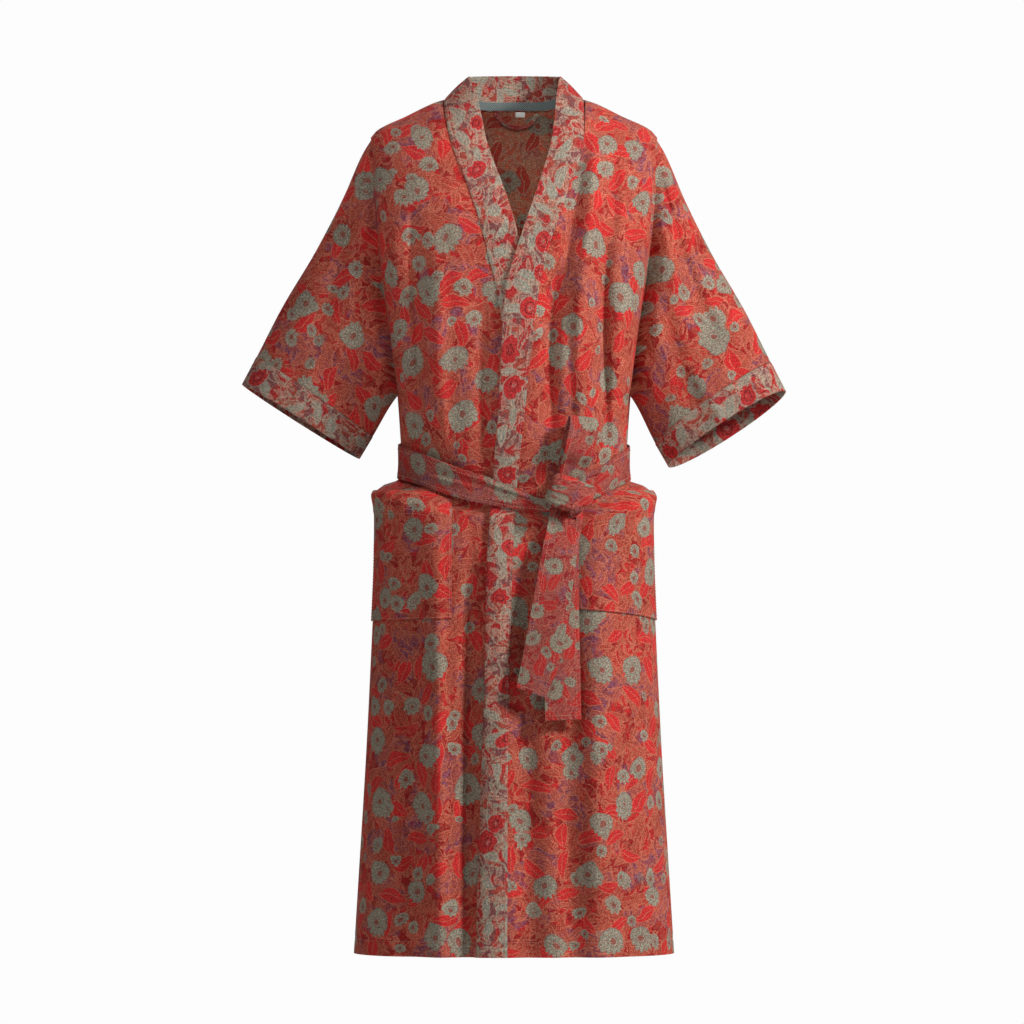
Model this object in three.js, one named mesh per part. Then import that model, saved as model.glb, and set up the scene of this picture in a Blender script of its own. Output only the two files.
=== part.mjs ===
import * as THREE from "three";

// A kimono robe, filled out as if worn, belted and open at neck, cuffs and hem.
// Millimetres. X points to the wearer's left, Y to the back, Z up.
// The origin lies between the two neck points of the shoulder seams, where the wearer holds it up.
// "right" and "left" are the wearer's own.

// Cloth
const CLOTH = 1.6; // one layer of brushed cotton
const FOLDED = 2.6; // two layers: neckband, cuffs and belt
const TAPE = 1.0; // woven tape and label
const SEAM = 0.3; // gap left between two pieces at a seam
const EASE = 0.4; // extra room under a folded piece that lies on a curved one

// Body
const UNDERARM = -385;
const CHEST = -211; // middle of the armhole: the shoulders round over from here up
const ARMHOLE_HALF = 52; // half of the armhole, front to back
const SQUARENESS = 0.12; // how far the ring departs from an ellipse towards a rectangle
const NECK_HALF = 95; // neck points, to each side of the middle
const NECK_DIP = 0.27; // how far the back neckline is cut down, as a share of the shoulder's rounding
const SIDES = { right: -1, left: 1 };
const FRONT = -1;
const BACK = 1;
const SETTLE = 6; // rounds that settle an angle or a row on the curved body
const HALF_STEP = 0.5; // a surface's slope is read this far to each side

// Rings of the body, from hem to shoulder: half width, and depth to the front and to the back
const RINGS = [
  { z: -1146, half: 217, front: 138, back: 138 },
  { z: -1034, half: 210, front: 134, back: 134 },
  { z: -870, half: 200, front: 127, back: 128 },
  { z: -707, half: 192, front: 120, back: 123 },
  { z: -600, half: 187, front: 114, back: 119 },
  { z: -540, half: 183, front: 108, back: 113 },
  { z: -516, half: 185, front: 105, back: 107 },
  { z: -510, half: 173, front: 103.5, back: 103 },
  { z: -504, half: 155, front: 102, back: 98 },
  { z: -478, half: 152, front: 101, back: 95 },
  { z: -440, half: 154, front: 108, back: 98 },
  { z: -385, half: 158, front: 114, back: 103 },
  { z: -320, half: 165, front: 117, back: 108 },
  { z: -211, half: 180, front: 117, back: 112 },
  { z: -135, half: 186, front: 117, back: 112 },
  { z: -75, half: 190, front: 117, back: 112 },
  { z: -38, half: 194, front: 117, back: 112 },
];

// Height of the shoulder line, by distance from the middle
const SHOULDER = [
  { out: 0, z: 20 },
  { out: 60, z: 18 },
  { out: 95, z: 13 },
  { out: 150, z: -11 },
  { out: 185, z: -28 },
  { out: 194, z: -38 },
];
const SHOULDER_TIP = -38;

// How the rows of the panels are spread: steps in each stretch of height, then steps round the armhole
const STRETCHES = [
  { from: -1146, to: -640, steps: 9 },
  { from: -640, to: -516, steps: 5 },
  { from: -516, to: -504, steps: 2 },
  { from: -504, to: -385, steps: 6 },
];
const LOWER = STRETCHES.reduce((sum, stretch) => sum + stretch.steps, 0);
const UPPER = 12;
const TOP = LOWER + UPPER;
const FRONT_STEPS = 14; // across a front, seam to side
const BACK_PANEL_STEPS = 22; // across the back, side to side
const AROUND = 2 * UPPER; // round a sleeve

// Where each front is sewn to the neckband, and the band's free edge, by height
const EDGE_HIGH = 17; // both edges end at this height
const OVER_EDGE = [
  { z: -1146, seam: -9, free: -51 },
  { z: -948, seam: -9, free: -45 },
  { z: -801, seam: -7, free: -40 },
  { z: -612, seam: -2, free: -36 },
  { z: -513, seam: 4, free: -29 },
  { z: -407, seam: 15, free: -21 },
  { z: -330, seam: 23, free: -17 },
  { z: -245, seam: 34, free: -11 },
  { z: -188, seam: 47, free: 5 },
  { z: -163, seam: 56, free: 13 },
  { z: -105, seam: 75, free: 33 },
  { z: -48, seam: 94, free: 50 },
  { z: 12, seam: 97, free: 60 },
  { z: 17, seam: 97, free: 62 },
];
const UNDER_EDGE = [
  { z: -1146, seam: 9, free: 51 },
  { z: -801, seam: 7, free: 42 },
  { z: -555, seam: 1, free: 36 },
  { z: -430, seam: -8, free: 29 },
  { z: -330, seam: -13, free: 25 },
  { z: -257, seam: -21, free: 20 },
  { z: -197, seam: -36, free: 10 },
  { z: -163, seam: -44, free: 3 },
  { z: -111, seam: -61, free: -13 },
  { z: -50, seam: -84, free: -36 },
  { z: 0, seam: -96, free: -50 },
  { z: 12, seam: -97, free: -58 },
  { z: 17, seam: -97, free: -60 },
];
const FRONTS = {
  right: { edge: UNDER_EDGE, lift: 0 },
  left: { edge: OVER_EDGE, lift: 1 },
};

// The left front laps over the right one and stands clear of it
const LAP_HIGH = -60; // above this the lift stays as it is here
const LAP = [
  { z: -1146, lift: 7 },
  { z: -700, lift: 6 },
  { z: -560, lift: 4 },
  { z: -500, lift: 4 },
  { z: -430, lift: 6.5 },
  { z: -300, lift: 7 },
  { z: -160, lift: 5 },
  { z: -60, lift: 0 },
];
const LAP_FROM = 98; // the lift starts here, left of the middle
const LAP_FULL = 50; // and is whole from here on

// Largest folds of the body: a ridge has a positive depth, a trough a negative one
const FOLD_FADE = 25; // the folds are pressed flat under the belt and grow over this height
const FOLD_EVEN = 0.7; // below 1 a fold keeps its depth over more of its length
const FOLDS = [
  { face: FRONT, x: 132, xLow: 132, high: -240, low: -478, width: 12, depth: -8 },
  { face: FRONT, x: 106, xLow: 110, high: -230, low: -478, width: 14, depth: 4 },
  { face: FRONT, x: 108, xLow: 60, high: -20, low: -260, width: 13, depth: -4 },
  { face: FRONT, x: -76, xLow: -70, high: -130, low: -470, width: 22, depth: 6 },
  { face: FRONT, x: -112, xLow: -112, high: -330, low: -480, width: 13, depth: -7 },
  { face: FRONT, x: -140, xLow: -120, high: -700, low: -1300, width: 22, depth: -6 },
  { face: FRONT, x: -95, xLow: -75, high: -700, low: -1300, width: 24, depth: 5 },
  { face: FRONT, x: 128, xLow: 105, high: -700, low: -1300, width: 24, depth: -6 },
  { face: FRONT, x: 150, xLow: 150, high: -700, low: -1300, width: 22, depth: 4 },
  { face: BACK, x: -120, xLow: -85, high: -120, low: -440, width: 20, depth: -6 },
  { face: BACK, x: 118, xLow: 78, high: -120, low: -440, width: 20, depth: -6 },
  { face: BACK, x: -20, xLow: -35, high: -200, low: -440, width: 22, depth: 4 },
  { face: BACK, x: 40, xLow: 52, high: -250, low: -440, width: 18, depth: -5 },
  { face: BACK, x: -100, xLow: -130, high: -500, low: -1300, width: 24, depth: -7 },
  { face: BACK, x: -40, xLow: -52, high: -500, low: -1300, width: 24, depth: 5 },
  { face: BACK, x: 30, xLow: 40, high: -500, low: -1300, width: 22, depth: -6 },
  { face: BACK, x: 96, xLow: 118, high: -500, low: -1300, width: 26, depth: 6 },
];

// Sleeve: its top edge, its underarm edge and half its depth, from armhole to cuff end
const SLEEVE = [
  { t: 0, topX: 194, topZ: -38, underX: 158, underZ: -385, deep: 52 },
  { t: 0.07, topX: 207, topZ: -60, underX: 163, underZ: -391, deep: 57 },
  { t: 0.27, topX: 232, topZ: -119, underX: 171, underZ: -404, deep: 62 },
  { t: 0.5, topX: 270, topZ: -194, underX: 178, underZ: -417, deep: 58 },
  { t: 0.72, topX: 314, topZ: -268, underX: 185, underZ: -430, deep: 50 },
  { t: 0.89, topX: 349, topZ: -336, underX: 193, underZ: -444, deep: 43 },
  { t: 1, topX: 369, topZ: -374, underX: 211, underZ: -474, deep: 40 },
];
const CUFF_AT = 0.89; // share of the tube where the cuff starts
const CUFF_GAP = 0.001; // left open at each side of that seam
const SLEEVE_STEPS = 9;
const CUFF_STEPS = 2;
const ARMS = {
  right: { drop: 0, tilt: 4, fall: 0 },
  left: { drop: 10, tilt: 14, fall: 10 },
};

// Largest folds of a sleeve, at an angle round it and between two shares of its length
const SLEEVE_FOLDS = [
  { face: FRONT, angle: 0.9, angleEnd: 0.35, from: 0.02, to: 0.75, width: 0.16, depth: -8 },
  { face: FRONT, angle: 0.1, angleEnd: -0.5, from: 0.1, to: 1.1, width: 0.2, depth: -6 },
  { face: BACK, angle: 0.7, angleEnd: 0.1, from: 0.05, to: 0.9, width: 0.2, depth: -8 },
  { face: BACK, angle: -0.3, angleEnd: -0.5, from: 0.2, to: 1.1, width: 0.22, depth: 5 },
];

// Neckband round the back of the neck
const BAND_STEPS = 2;
const BACK_STEPS = 18;
const BAND_HALF = NECK_HALF + 2; // half width of its seam round the neck
const BAND_INSIDE = SEAM + 3 * EASE + (FOLDED + CLOTH) / 2; // it is sewn on inside the panels' edges
const BAND_UPRIGHT = 0.4; // it stands up from this share of the shoulder's rounding on
const BAND_RISE = 27; // how far its free edge stands above the shoulder line
const BAND_TOP = 48; // height of its free edge at the middle of the back
const BAND_TOP_SIDE = 44; // and at the sides of the neck
const BAND_TOP_HALF = 61;
const BAND_TOP_BACK = 41;
const BAND_TOP_SQUARE = 0.8; // below 1 the free edge runs squarer than an ellipse
const TAPE_FROM = 0.03; // share of the band's width below the tape
const TAPE_WIDTH = 0.24; // share of the band's width that the tape covers
const TAPE_INSET = 4; // steps of the band left bare at each end of the tape

// Belt, by degrees round the body from the front middle, left positive.
// It is drawn together where it goes down into the knot.
const BELT_WIDTH_HALF = 23;
const BELT_SIDE = -478; // height of its middle at the sides
const BELT_HOLD = 40; // the body follows the belt's line this far above and below it
const BELT_FADE = 110; // and is free of it this much further on
const BELT = [
  { turn: -333, mid: -519, half: 20, drop: 0 },
  { turn: -317, mid: -507, half: 20, drop: 0 },
  { turn: -298, mid: -490, half: 22, drop: 0 },
  { turn: -270, mid: -480, half: 23, drop: 0 },
  { turn: -180, mid: -466, half: 23, drop: 0 },
  { turn: -90, mid: -478, half: 23, drop: 0 },
  { turn: -54, mid: -487, half: 22, drop: 0 },
  { turn: -31, mid: -503, half: 21, drop: 0 },
  { turn: -17, mid: -514, half: 20, drop: 0 },
  { turn: 0, mid: -521, half: 15, drop: -7 },
  { turn: 12, mid: -523, half: 10, drop: -14 },
  { turn: 24, mid: -525, half: 9, drop: -16 },
];
const BELT_FROM = -333;
const BELT_TO = 24;
const BELT_STEPS = 72;
const BELT_ACROSS = 3;
const BELT_STAND = FOLDED + SEAM + 1.5 * EASE;
const NEXT = FOLDED + SEAM + EASE; // from one folded layer to the next one on it

// Knot: a folded turn of the belt over its two ends, that runs down to the left
const KNOT = {
  x: 70,
  z: -523,
  alongX: 27.5,
  alongZ: -12.5,
  acrossX: 7,
  acrossZ: 25.5,
  thick: 22,
  power: 5, // 2 is an ellipse, more is squarer
};
const KNOT_AROUND = 24;
const KNOT_PROFILE = [
  { share: 0, height: 0 },
  { share: 0.5, height: 0 },
  { share: 0.88, height: 0.02 },
  { share: 1, height: 0.28 },
  { share: 0.97, height: 0.66 },
  { share: 0.84, height: 0.9 },
  { share: 0.45, height: 0.99 },
  { share: 0, height: 1 },
];
const KNOT_STAND = BELT_STAND + 2.5 * NEXT + 4 * EASE;

// The loop of the half bow, up the front layer, over the fold and down the back layer
const BOW_LOOP = [
  { at: 0, x: 73, z: -528, half: 17, stand: BELT_STAND + 2 * NEXT },
  { at: 0.15, x: 75, z: -496, half: 16.5, stand: BELT_STAND + 2 * NEXT },
  { at: 0.2, x: 77, z: -485, half: 17, stand: 11 },
  { at: 0.3, x: 79, z: -463, half: 18, stand: 23 },
  { at: 0.42, x: 84, z: -432, half: 18.5, stand: 25 },
  { at: 0.5, x: 88, z: -418, half: 19.5, stand: 16 },
  { at: 0.58, x: 87, z: -432, half: 20, stand: 8 },
  { at: 0.74, x: 80, z: -466, half: 20, stand: BELT_STAND + NEXT + EASE },
  { at: 1, x: 73, z: -528, half: 18, stand: BELT_STAND + NEXT + EASE },
];
const BOW_STEPS = 22;
const BOW_LEAN = 5; // its left edge stands this much higher than its right edge

// The two tails, from under the knot to their ends
const TAIL_STEPS = 12;
const TAIL_ACROSS = 3;
const TAIL_FRONT = [
  { at: 0, leftX: 52, leftZ: -530, rightX: 92, rightZ: -536, stand: BELT_STAND + 2 * NEXT + EASE },
  { at: 0.14, leftX: 44, leftZ: -567, rightX: 87, rightZ: -574, stand: BELT_STAND + 2 * NEXT + EASE },
  { at: 0.26, leftX: 37, leftZ: -600, rightX: 80, rightZ: -610, stand: 13 },
  { at: 0.55, leftX: 24, leftZ: -672, rightX: 69, rightZ: -684, stand: 14 },
  { at: 0.82, leftX: 10, leftZ: -748, rightX: 55, rightZ: -760, stand: 13.5 },
  { at: 1, leftX: 3, leftZ: -783, rightX: 41, rightZ: -797, stand: 13.5 },
];
const TAIL_BACK = [
  { at: 0, leftX: 52, leftZ: -530, rightX: 90, rightZ: -532, stand: BELT_STAND + NEXT },
  { at: 0.14, leftX: 45, leftZ: -572, rightX: 87, rightZ: -574, stand: BELT_STAND + NEXT },
  { at: 0.3, leftX: 41, leftZ: -620, rightX: 84, rightZ: -620, stand: 8.5 },
  { at: 0.65, leftX: 40, leftZ: -720, rightX: 85, rightZ: -720, stand: 9 },
  { at: 1, leftX: 41, leftZ: -828, rightX: 87, rightZ: -826, stand: 9 },
];

// Patch pockets
const POCKET_TOP = -519;
const POCKET_INNER = 84;
const POCKET_OUTER = 1.5; // radians round the front
const POCKET_STEPS = 10;
const POCKET_STAND = CLOTH + SEAM + EASE;
const POCKET_UNDER = 3; // its mouth keeps this far under the belt
const POCKET_GAPE = 15; // its mouth stands open this far
const POCKET_FLAT = 0.25; // share of its height that lies flat
const POCKETS = {
  right: { inner: -690, outer: -695 },
  left: { inner: -677, outer: -694 },
};

// Small hanging loop and bare label at the back neck
const HANGER = [
  { at: 0, x: -26, z: -3.5 },
  { at: 0.3, x: -12, z: -18 },
  { at: 0.5, x: 4, z: -23 },
  { at: 0.7, x: 20, z: -19 },
  { at: 1, x: 33, z: -3.5 },
];
const HANGER_HALF = 2.8;
const HANGER_WALL = 2;
const HANGER_STEPS = 12;
const LABEL = { from: 2, to: 15, high: -1.5, low: -8.5 };

// Smoothly between the rows of a table, along one named column
function between(table, by, name, at) {
  const last = table.length - 2;
  let i = 0;
  while (i < last && at > table[i + 1][by]) i += 1;
  const slope = (k) => {
    const here = Math.min(Math.max(k, 0), last);
    return (table[here + 1][name] - table[here][name]) / (table[here + 1][by] - table[here][by]);
  };
  const tangent = (k) => {
    const before = slope(k - 1);
    const after = slope(k);
    return before * after <= 0 ? 0 : (2 * before * after) / (before + after);
  };
  const span = table[i + 1][by] - table[i][by];
  const s = (at - table[i][by]) / span;
  if (s < 0) return table[i][name] + slope(i) * (at - table[i][by]);
  if (s > 1) return table[i + 1][name] + slope(i) * (at - table[i + 1][by]);
  const a = 2 * s ** 3 - 3 * s ** 2 + 1;
  const b = s ** 3 - 2 * s ** 2 + s;
  const c = s ** 3 - s ** 2;
  const straight = a * table[i][name] + (1 - a) * table[i + 1][name];
  return straight + span * (b * tangent(i) + c * tangent(i + 1));
}

function ramp(value) {
  const s = Math.min(Math.max(value, 0), 1);
  return s * s * (3 - 2 * s);
}

function mix(a, b, share) {
  return a + (b - a) * share;
}

// Angle round the ring whose point lies at this share of the half width
function angleAt(share) {
  let angle = Math.asin(Math.max(-1, Math.min(1, share / (1 + SQUARENESS))));
  for (let i = 0; i < SETTLE; i += 1) {
    const sin = Math.sin(angle);
    const cos = Math.cos(angle);
    const off = sin * (1 + SQUARENESS * cos * cos) - share;
    const rate = cos * (1 + SQUARENESS * (cos * cos - 2 * sin * sin));
    angle -= off / Math.max(rate, 0.05);
  }
  return angle;
}

// Height of a row between the hem and the underarm
function rowHeight(v) {
  let start = 0;
  for (const stretch of STRETCHES) {
    if (v <= start + stretch.steps || stretch === STRETCHES[STRETCHES.length - 1]) {
      return mix(stretch.from, stretch.to, (v - start) / stretch.steps);
    }
    start += stretch.steps;
  }
  return UNDERARM;
}

// A level ring; "height" is where its width is read
function flatRing(z, side = 0) {
  return { z, height: z, side, round: 1, rise: 0 };
}

// The ring of a row: flat below the chest, rising to the shoulder line above it
function ring(v, dip = 0) {
  if (v <= LOWER) {
    const z = rowHeight(v);
    return flatRing(z);
  }
  const angle = ((v - LOWER) / UPPER - 0.5) * Math.PI;
  if (angle <= 0) {
    const z = CHEST + (CHEST - UNDERARM) * Math.sin(angle);
    return flatRing(z, ARMHOLE_HALF * Math.cos(angle));
  }
  const dipped = angle * (1 - dip);
  return {
    z: CHEST,
    height: CHEST + (SHOULDER_TIP - CHEST) * Math.sin(angle),
    side: ARMHOLE_HALF,
    round: Math.cos(dipped),
    rise: Math.sin(dipped),
  };
}

// Belt's middle line at an angle round the body, and how near a height is to it
function beltHeight(face, angle) {
  const degrees = (angle * 180) / Math.PI;
  const turn = face === FRONT ? degrees : -180 - degrees;
  return between(BELT, "turn", "mid", turn > BELT_TO ? turn - 360 : turn);
}

// The rows near the belt follow its line, lower in front than at the sides and the back
function sag(face, angle, z) {
  const near = 1 - ramp((Math.abs(z - BELT_SIDE) - BELT_HOLD) / BELT_FADE);
  return (beltHeight(face, angle) - BELT_SIDE) * near;
}

// Angle round a row at a distance from the middle
function angleFor(row, x) {
  return angleAt(x / between(RINGS, "z", "half", row.height));
}

function foldDepth(face, angle, x, z) {
  let depth = 0;
  for (const fold of FOLDS) {
    const along = (fold.high - z) / (fold.high - fold.low);
    if (fold.face === face && along > 0 && along < 1) {
      const off = (x - mix(fold.x, fold.xLow, along)) / fold.width;
      depth += fold.depth * Math.exp(-off * off) * Math.sin(Math.PI * along) ** FOLD_EVEN;
    }
  }
  const fromBelt = Math.abs(z - beltHeight(face, angle)) - BELT_WIDTH_HALF;
  return depth * ramp(fromBelt / FOLD_FADE) * Math.cos(angle);
}

function lap(x, z) {
  return between(LAP, "z", "lift", Math.min(z, LAP_HIGH)) * ramp((LAP_FROM - x) / (LAP_FROM - LAP_FULL));
}

// A point of the body: which face, the angle from its middle, and the row
function bodyOn(face, angle, row, lift = 0) {
  const sin = Math.sin(angle);
  const cos = Math.cos(angle);
  const x = between(RINGS, "z", "half", row.height) * sin * (1 + SQUARENESS * cos * cos);
  const shoulder = between(SHOULDER, "out", "z", Math.abs(x));
  const z = row.rise === 0 ? row.z + sag(face, angle, row.z) : CHEST + (shoulder - CHEST) * row.rise;
  const deep = between(RINGS, "z", face === FRONT ? "front" : "back", row.z);
  const depth = row.side + (deep - row.side) * cos * (1 + SQUARENESS * sin * sin);
  const out = depth * row.round + foldDepth(face, angle, x, z) * row.round;
  return new THREE.Vector3(x, face * (out + SEAM / 2 + lift * lap(x, z)), z);
}

// The angle and the row of a place on the fronts below the underarm
function placeOnFront(x, z) {
  let row = flatRing(z);
  let angle = 0;
  for (let i = 0; i < SETTLE; i += 1) {
    angle = angleFor(row, x);
    row = flatRing(z - sag(FRONT, angle, row.z));
  }
  return { angle, row };
}

// Direction out of a surface at (u, v)
function outOf(surface, u, v, stepU, stepV) {
  const alongU = surface(u + stepU, v).sub(surface(u - stepU, v));
  const alongV = surface(u, v + stepV).sub(surface(u, v - stepV));
  return alongU.cross(alongV).normalize();
}

// A surface moved out by a distance, which may change along it
function movedOut(surface, stepU, stepV, distance) {
  return (u, v) => {
    const far = typeof distance === "function" ? distance(u, v) : distance;
    return surface(u, v).addScaledVector(outOf(surface, u, v, stepU, stepV), far);
  };
}

function meshFrom(name, points, faces, look) {
  const positions = points.flatMap((point) => [point.x, point.y, point.z]);
  let volume = 0;
  for (const [a, b, c] of faces) {
    volume += points[a].dot(new THREE.Vector3().crossVectors(points[b], points[c]));
  }
  const order = volume > 0 ? faces : faces.map(([a, b, c]) => [a, c, b]);
  const geometry = new THREE.BufferGeometry();
  geometry.setAttribute("position", new THREE.Float32BufferAttribute(positions, 3));
  geometry.setIndex(order.flat());
  geometry.computeVertexNormals();
  const mesh = new THREE.Mesh(geometry, new THREE.MeshStandardMaterial(look));
  mesh.name = name;
  return mesh;
}

// A wall of cloth, half its thickness to each side of a surface, closed along its rims.
// The surface runs over whole steps u and v; a tube closes on itself along u.
function wall(name, surface, stepsU, stepsV, thick, look, tube = false) {
  const points = [];
  const faces = [];
  const countU = tube ? stepsU : stepsU + 1;
  for (const side of [1, -1]) {
    for (let v = 0; v <= stepsV; v += 1) {
      for (let u = 0; u < countU; u += 1) {
        const normal = outOf(surface, u, v, HALF_STEP, HALF_STEP);
        points.push(surface(u, v).addScaledVector(normal, (side * thick) / 2));
      }
    }
  }
  const layer = countU * (stepsV + 1);
  const index = (u, v, side) => side * layer + v * countU + (u % countU);
  const quad = (a, b, c, d) => faces.push([a, b, c], [a, c, d]);
  for (let v = 0; v < stepsV; v += 1) {
    for (let u = 0; u < stepsU; u += 1) {
      quad(index(u, v, 0), index(u + 1, v, 0), index(u + 1, v + 1, 0), index(u, v + 1, 0));
      quad(index(u, v, 1), index(u, v + 1, 1), index(u + 1, v + 1, 1), index(u + 1, v, 1));
    }
  }
  for (let u = 0; u < stepsU; u += 1) {
    quad(index(u, 0, 0), index(u, 0, 1), index(u + 1, 0, 1), index(u + 1, 0, 0));
    quad(index(u, stepsV, 0), index(u + 1, stepsV, 0), index(u + 1, stepsV, 1), index(u, stepsV, 1));
  }
  if (!tube) {
    for (let v = 0; v < stepsV; v += 1) {
      quad(index(0, v, 0), index(0, v + 1, 0), index(0, v + 1, 1), index(0, v, 1));
      quad(index(stepsU, v, 0), index(stepsU, v, 1), index(stepsU, v + 1, 1), index(stepsU, v + 1, 0));
    }
  }
  return meshFrom(name, points, faces, look);
}

// A closed body of rings between two poles
function closedRings(name, rings, look) {
  const around = rings[1].length;
  const points = [rings[0][0], ...rings.slice(1, -1).flat(), rings[rings.length - 1][0]];
  const faces = [];
  const last = points.length - 1;
  const index = (r, i) => 1 + r * around + (i % around);
  const count = rings.length - 2;
  for (let i = 0; i < around; i += 1) {
    faces.push([0, index(0, i + 1), index(0, i)]);
    faces.push([last, index(count - 1, i), index(count - 1, i + 1)]);
    for (let r = 0; r < count - 1; r += 1) {
      faces.push([index(r, i), index(r, i + 1), index(r + 1, i + 1)]);
      faces.push([index(r, i), index(r + 1, i + 1), index(r + 1, i)]);
    }
  }
  return meshFrom(name, points, faces, look);
}

const LOOKS = {
  body: { color: 0xb8443a, roughness: 0.9, metalness: 0 },
  sleeve: { color: 0xb9463c, roughness: 0.9, metalness: 0 },
  border: { color: 0xa8665e, roughness: 0.9, metalness: 0 },
  belt: { color: 0xa64a44, roughness: 0.9, metalness: 0 },
  tape: { color: 0x6f7f88, roughness: 0.85, metalness: 0 },
  label: { color: 0xe9e6df, roughness: 0.6, metalness: 0 },
};

// Where a front's seam or free edge crosses a row
function edgeAngle(side, column, v, shift = 0) {
  const row = ring(v);
  let x = SIDES[side] * NECK_HALF;
  for (let i = 0; i < SETTLE; i += 1) {
    const z = bodyOn(FRONT, angleFor(row, x), row).z;
    x = between(FRONTS[side].edge, "z", column, Math.min(z, EDGE_HIGH)) + shift;
  }
  return angleFor(row, x);
}

function frontSurface(side) {
  const outer = (SIDES[side] * Math.PI) / 2;
  return (u, v) => {
    const angle = mix(edgeAngle(side, "seam", v), outer, u / FRONT_STEPS);
    return bodyOn(FRONT, angle, ring(v), FRONTS[side].lift);
  };
}

function neckDip(x) {
  const share = Math.min(Math.abs(x) / NECK_HALF, 1);
  return NECK_DIP * (1 - share ** 4);
}

function backSurface(u, v) {
  const angle = (u / BACK_PANEL_STEPS - 0.5) * Math.PI;
  const x = bodyOn(BACK, angle, ring(v)).x;
  return bodyOn(BACK, angle, ring(v, neckDip(x)));
}

// The neckband runs up the right front, round the back of the neck and down the left front.
// Across it, 0 is the seam and 1 the free edge.
function bandOnFront(side, v, across) {
  const rounding = ((v - LOWER) / UPPER - 0.5) * 2;
  const upright = ramp((rounding - BAND_UPRIGHT) / (1 - BAND_UPRIGHT));
  const inside = mix(SEAM, BAND_INSIDE, upright);
  const start = edgeAngle(side, "seam", v, -SIDES[side] * inside);
  const angle = mix(start, edgeAngle(side, "free", v), across);
  const point = bodyOn(FRONT, angle, ring(v), FRONTS[side].lift);
  point.z += BAND_RISE * across * upright;
  return point;
}

function bandOnBack(share, across) {
  const swing = (share - 0.5) * Math.PI;
  const x = BAND_HALF * Math.sin(swing);
  const row = ring(TOP, neckDip(x));
  const seam = bodyOn(BACK, angleFor(row, x), row);
  seam.x -= BAND_INSIDE * Math.sin(swing);
  seam.y -= BAND_INSIDE * Math.cos(swing);
  const cos = Math.max(Math.cos(swing), 0);
  const free = new THREE.Vector3(
    BAND_TOP_HALF * Math.sin(swing),
    BAND_TOP_BACK * cos ** BAND_TOP_SQUARE,
    mix(BAND_TOP_SIDE, BAND_TOP, cos),
  );
  return seam.lerp(free, across);
}

function bandSurface(u, v) {
  const across = v / BAND_STEPS;
  if (u <= TOP) return bandOnFront("right", u, across);
  if (u >= TOP + BACK_STEPS) return bandOnFront("left", 2 * TOP + BACK_STEPS - u, across);
  return bandOnBack((u - TOP) / BACK_STEPS, across);
}

function tapeSurface(u, v) {
  return bandOnBack((u + TAPE_INSET) / BACK_STEPS, TAPE_FROM + TAPE_WIDTH * v);
}

function neckTape() {
  const surface = movedOut(tapeSurface, HALF_STEP, HALF_STEP, FOLDED / 2 + SEAM + TAPE / 2);
  return wall("neck_tape", surface, BACK_STEPS - 2 * TAPE_INSET, 1, TAPE, LOOKS.tape);
}

// Sleeve and cuff share one tube: round it from underarm over the front to the top and down the back
function sleeveSurface(side) {
  const sign = SIDES[side];
  const arm = ARMS[side];
  const at = (name, t) => between(SLEEVE, "t", name, t);
  const tube = (face, angle, t) => {
    const top = new THREE.Vector3(at("topX", t), 0, at("topZ", t) - arm.drop * t);
    const under = new THREE.Vector3(at("underX", t), 0, at("underZ", t) - arm.fall * t);
    const depth = at("deep", t) * Math.cos(angle);
    const point = top.clone().add(under).multiplyScalar(0.5);
    point.addScaledVector(top.sub(under), Math.sin(angle) / 2);
    point.y = face * depth;
    point.z -= face * arm.tilt * t * t * Math.cos(angle);
    return point;
  };
  const armhole = (face, angle) => {
    const sin = Math.sin(angle);
    const z = CHEST + (sin > 0 ? SHOULDER_TIP - CHEST : CHEST - UNDERARM) * sin;
    const clear = CLOTH / 2 + 2 * SEAM + (CLOTH / 2) * Math.abs(sin);
    return new THREE.Vector3(between(RINGS, "z", "half", z) + clear, face * ARMHOLE_HALF * Math.cos(angle), z);
  };
  const crease = (face, angle, t) => {
    let depth = 0;
    for (const fold of SLEEVE_FOLDS) {
      const along = (t - fold.from) / (fold.to - fold.from);
      if (fold.face === face && along > 0 && along < 1) {
        const off = (angle - mix(fold.angle, fold.angleEnd, along)) / fold.width;
        depth += fold.depth * Math.exp(-off * off) * Math.sin(Math.PI * along);
      }
    }
    return depth;
  };
  return (u, t) => {
    const step = ((u % AROUND) + AROUND) % AROUND;
    const face = step <= UPPER ? FRONT : BACK;
    const turn = step <= UPPER ? step / UPPER : 2 - step / UPPER;
    const angle = (turn - 0.5) * Math.PI;
    const fit = armhole(face, angle).sub(tube(face, angle, 0));
    const point = tube(face, angle, t).addScaledVector(fit, Math.max(1 - t, 0) ** 3);
    point.y += face * crease(face, angle, t) * Math.cos(angle);
    point.x *= sign;
    return point;
  };
}

function sleeve(side) {
  const tube = sleeveSurface(side);
  const surface = (u, v) => tube(u, (v / SLEEVE_STEPS) * (CUFF_AT - CUFF_GAP));
  return wall(`sleeve_${side}`, surface, AROUND, SLEEVE_STEPS, CLOTH, LOOKS.sleeve, true);
}

function cuff(side) {
  const tube = sleeveSurface(side);
  const surface = (u, v) => tube(u, mix(CUFF_AT + CUFF_GAP, 1, v / CUFF_STEPS));
  return wall(`cuff_${side}`, surface, AROUND, CUFF_STEPS, FOLDED, LOOKS.border, true);
}

// What lies over the left front is placed by X and Z on it
function onLeftFront(x, z) {
  const place = placeOnFront(x, z);
  return bodyOn(FRONT, place.angle, place.row, 1);
}

function offLeftFront(x, z, stand) {
  const normal = outOf(onLeftFront, x, z, 2, 2);
  return onLeftFront(x, z).addScaledVector(normal, normal.y < 0 ? stand : -stand);
}

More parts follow.
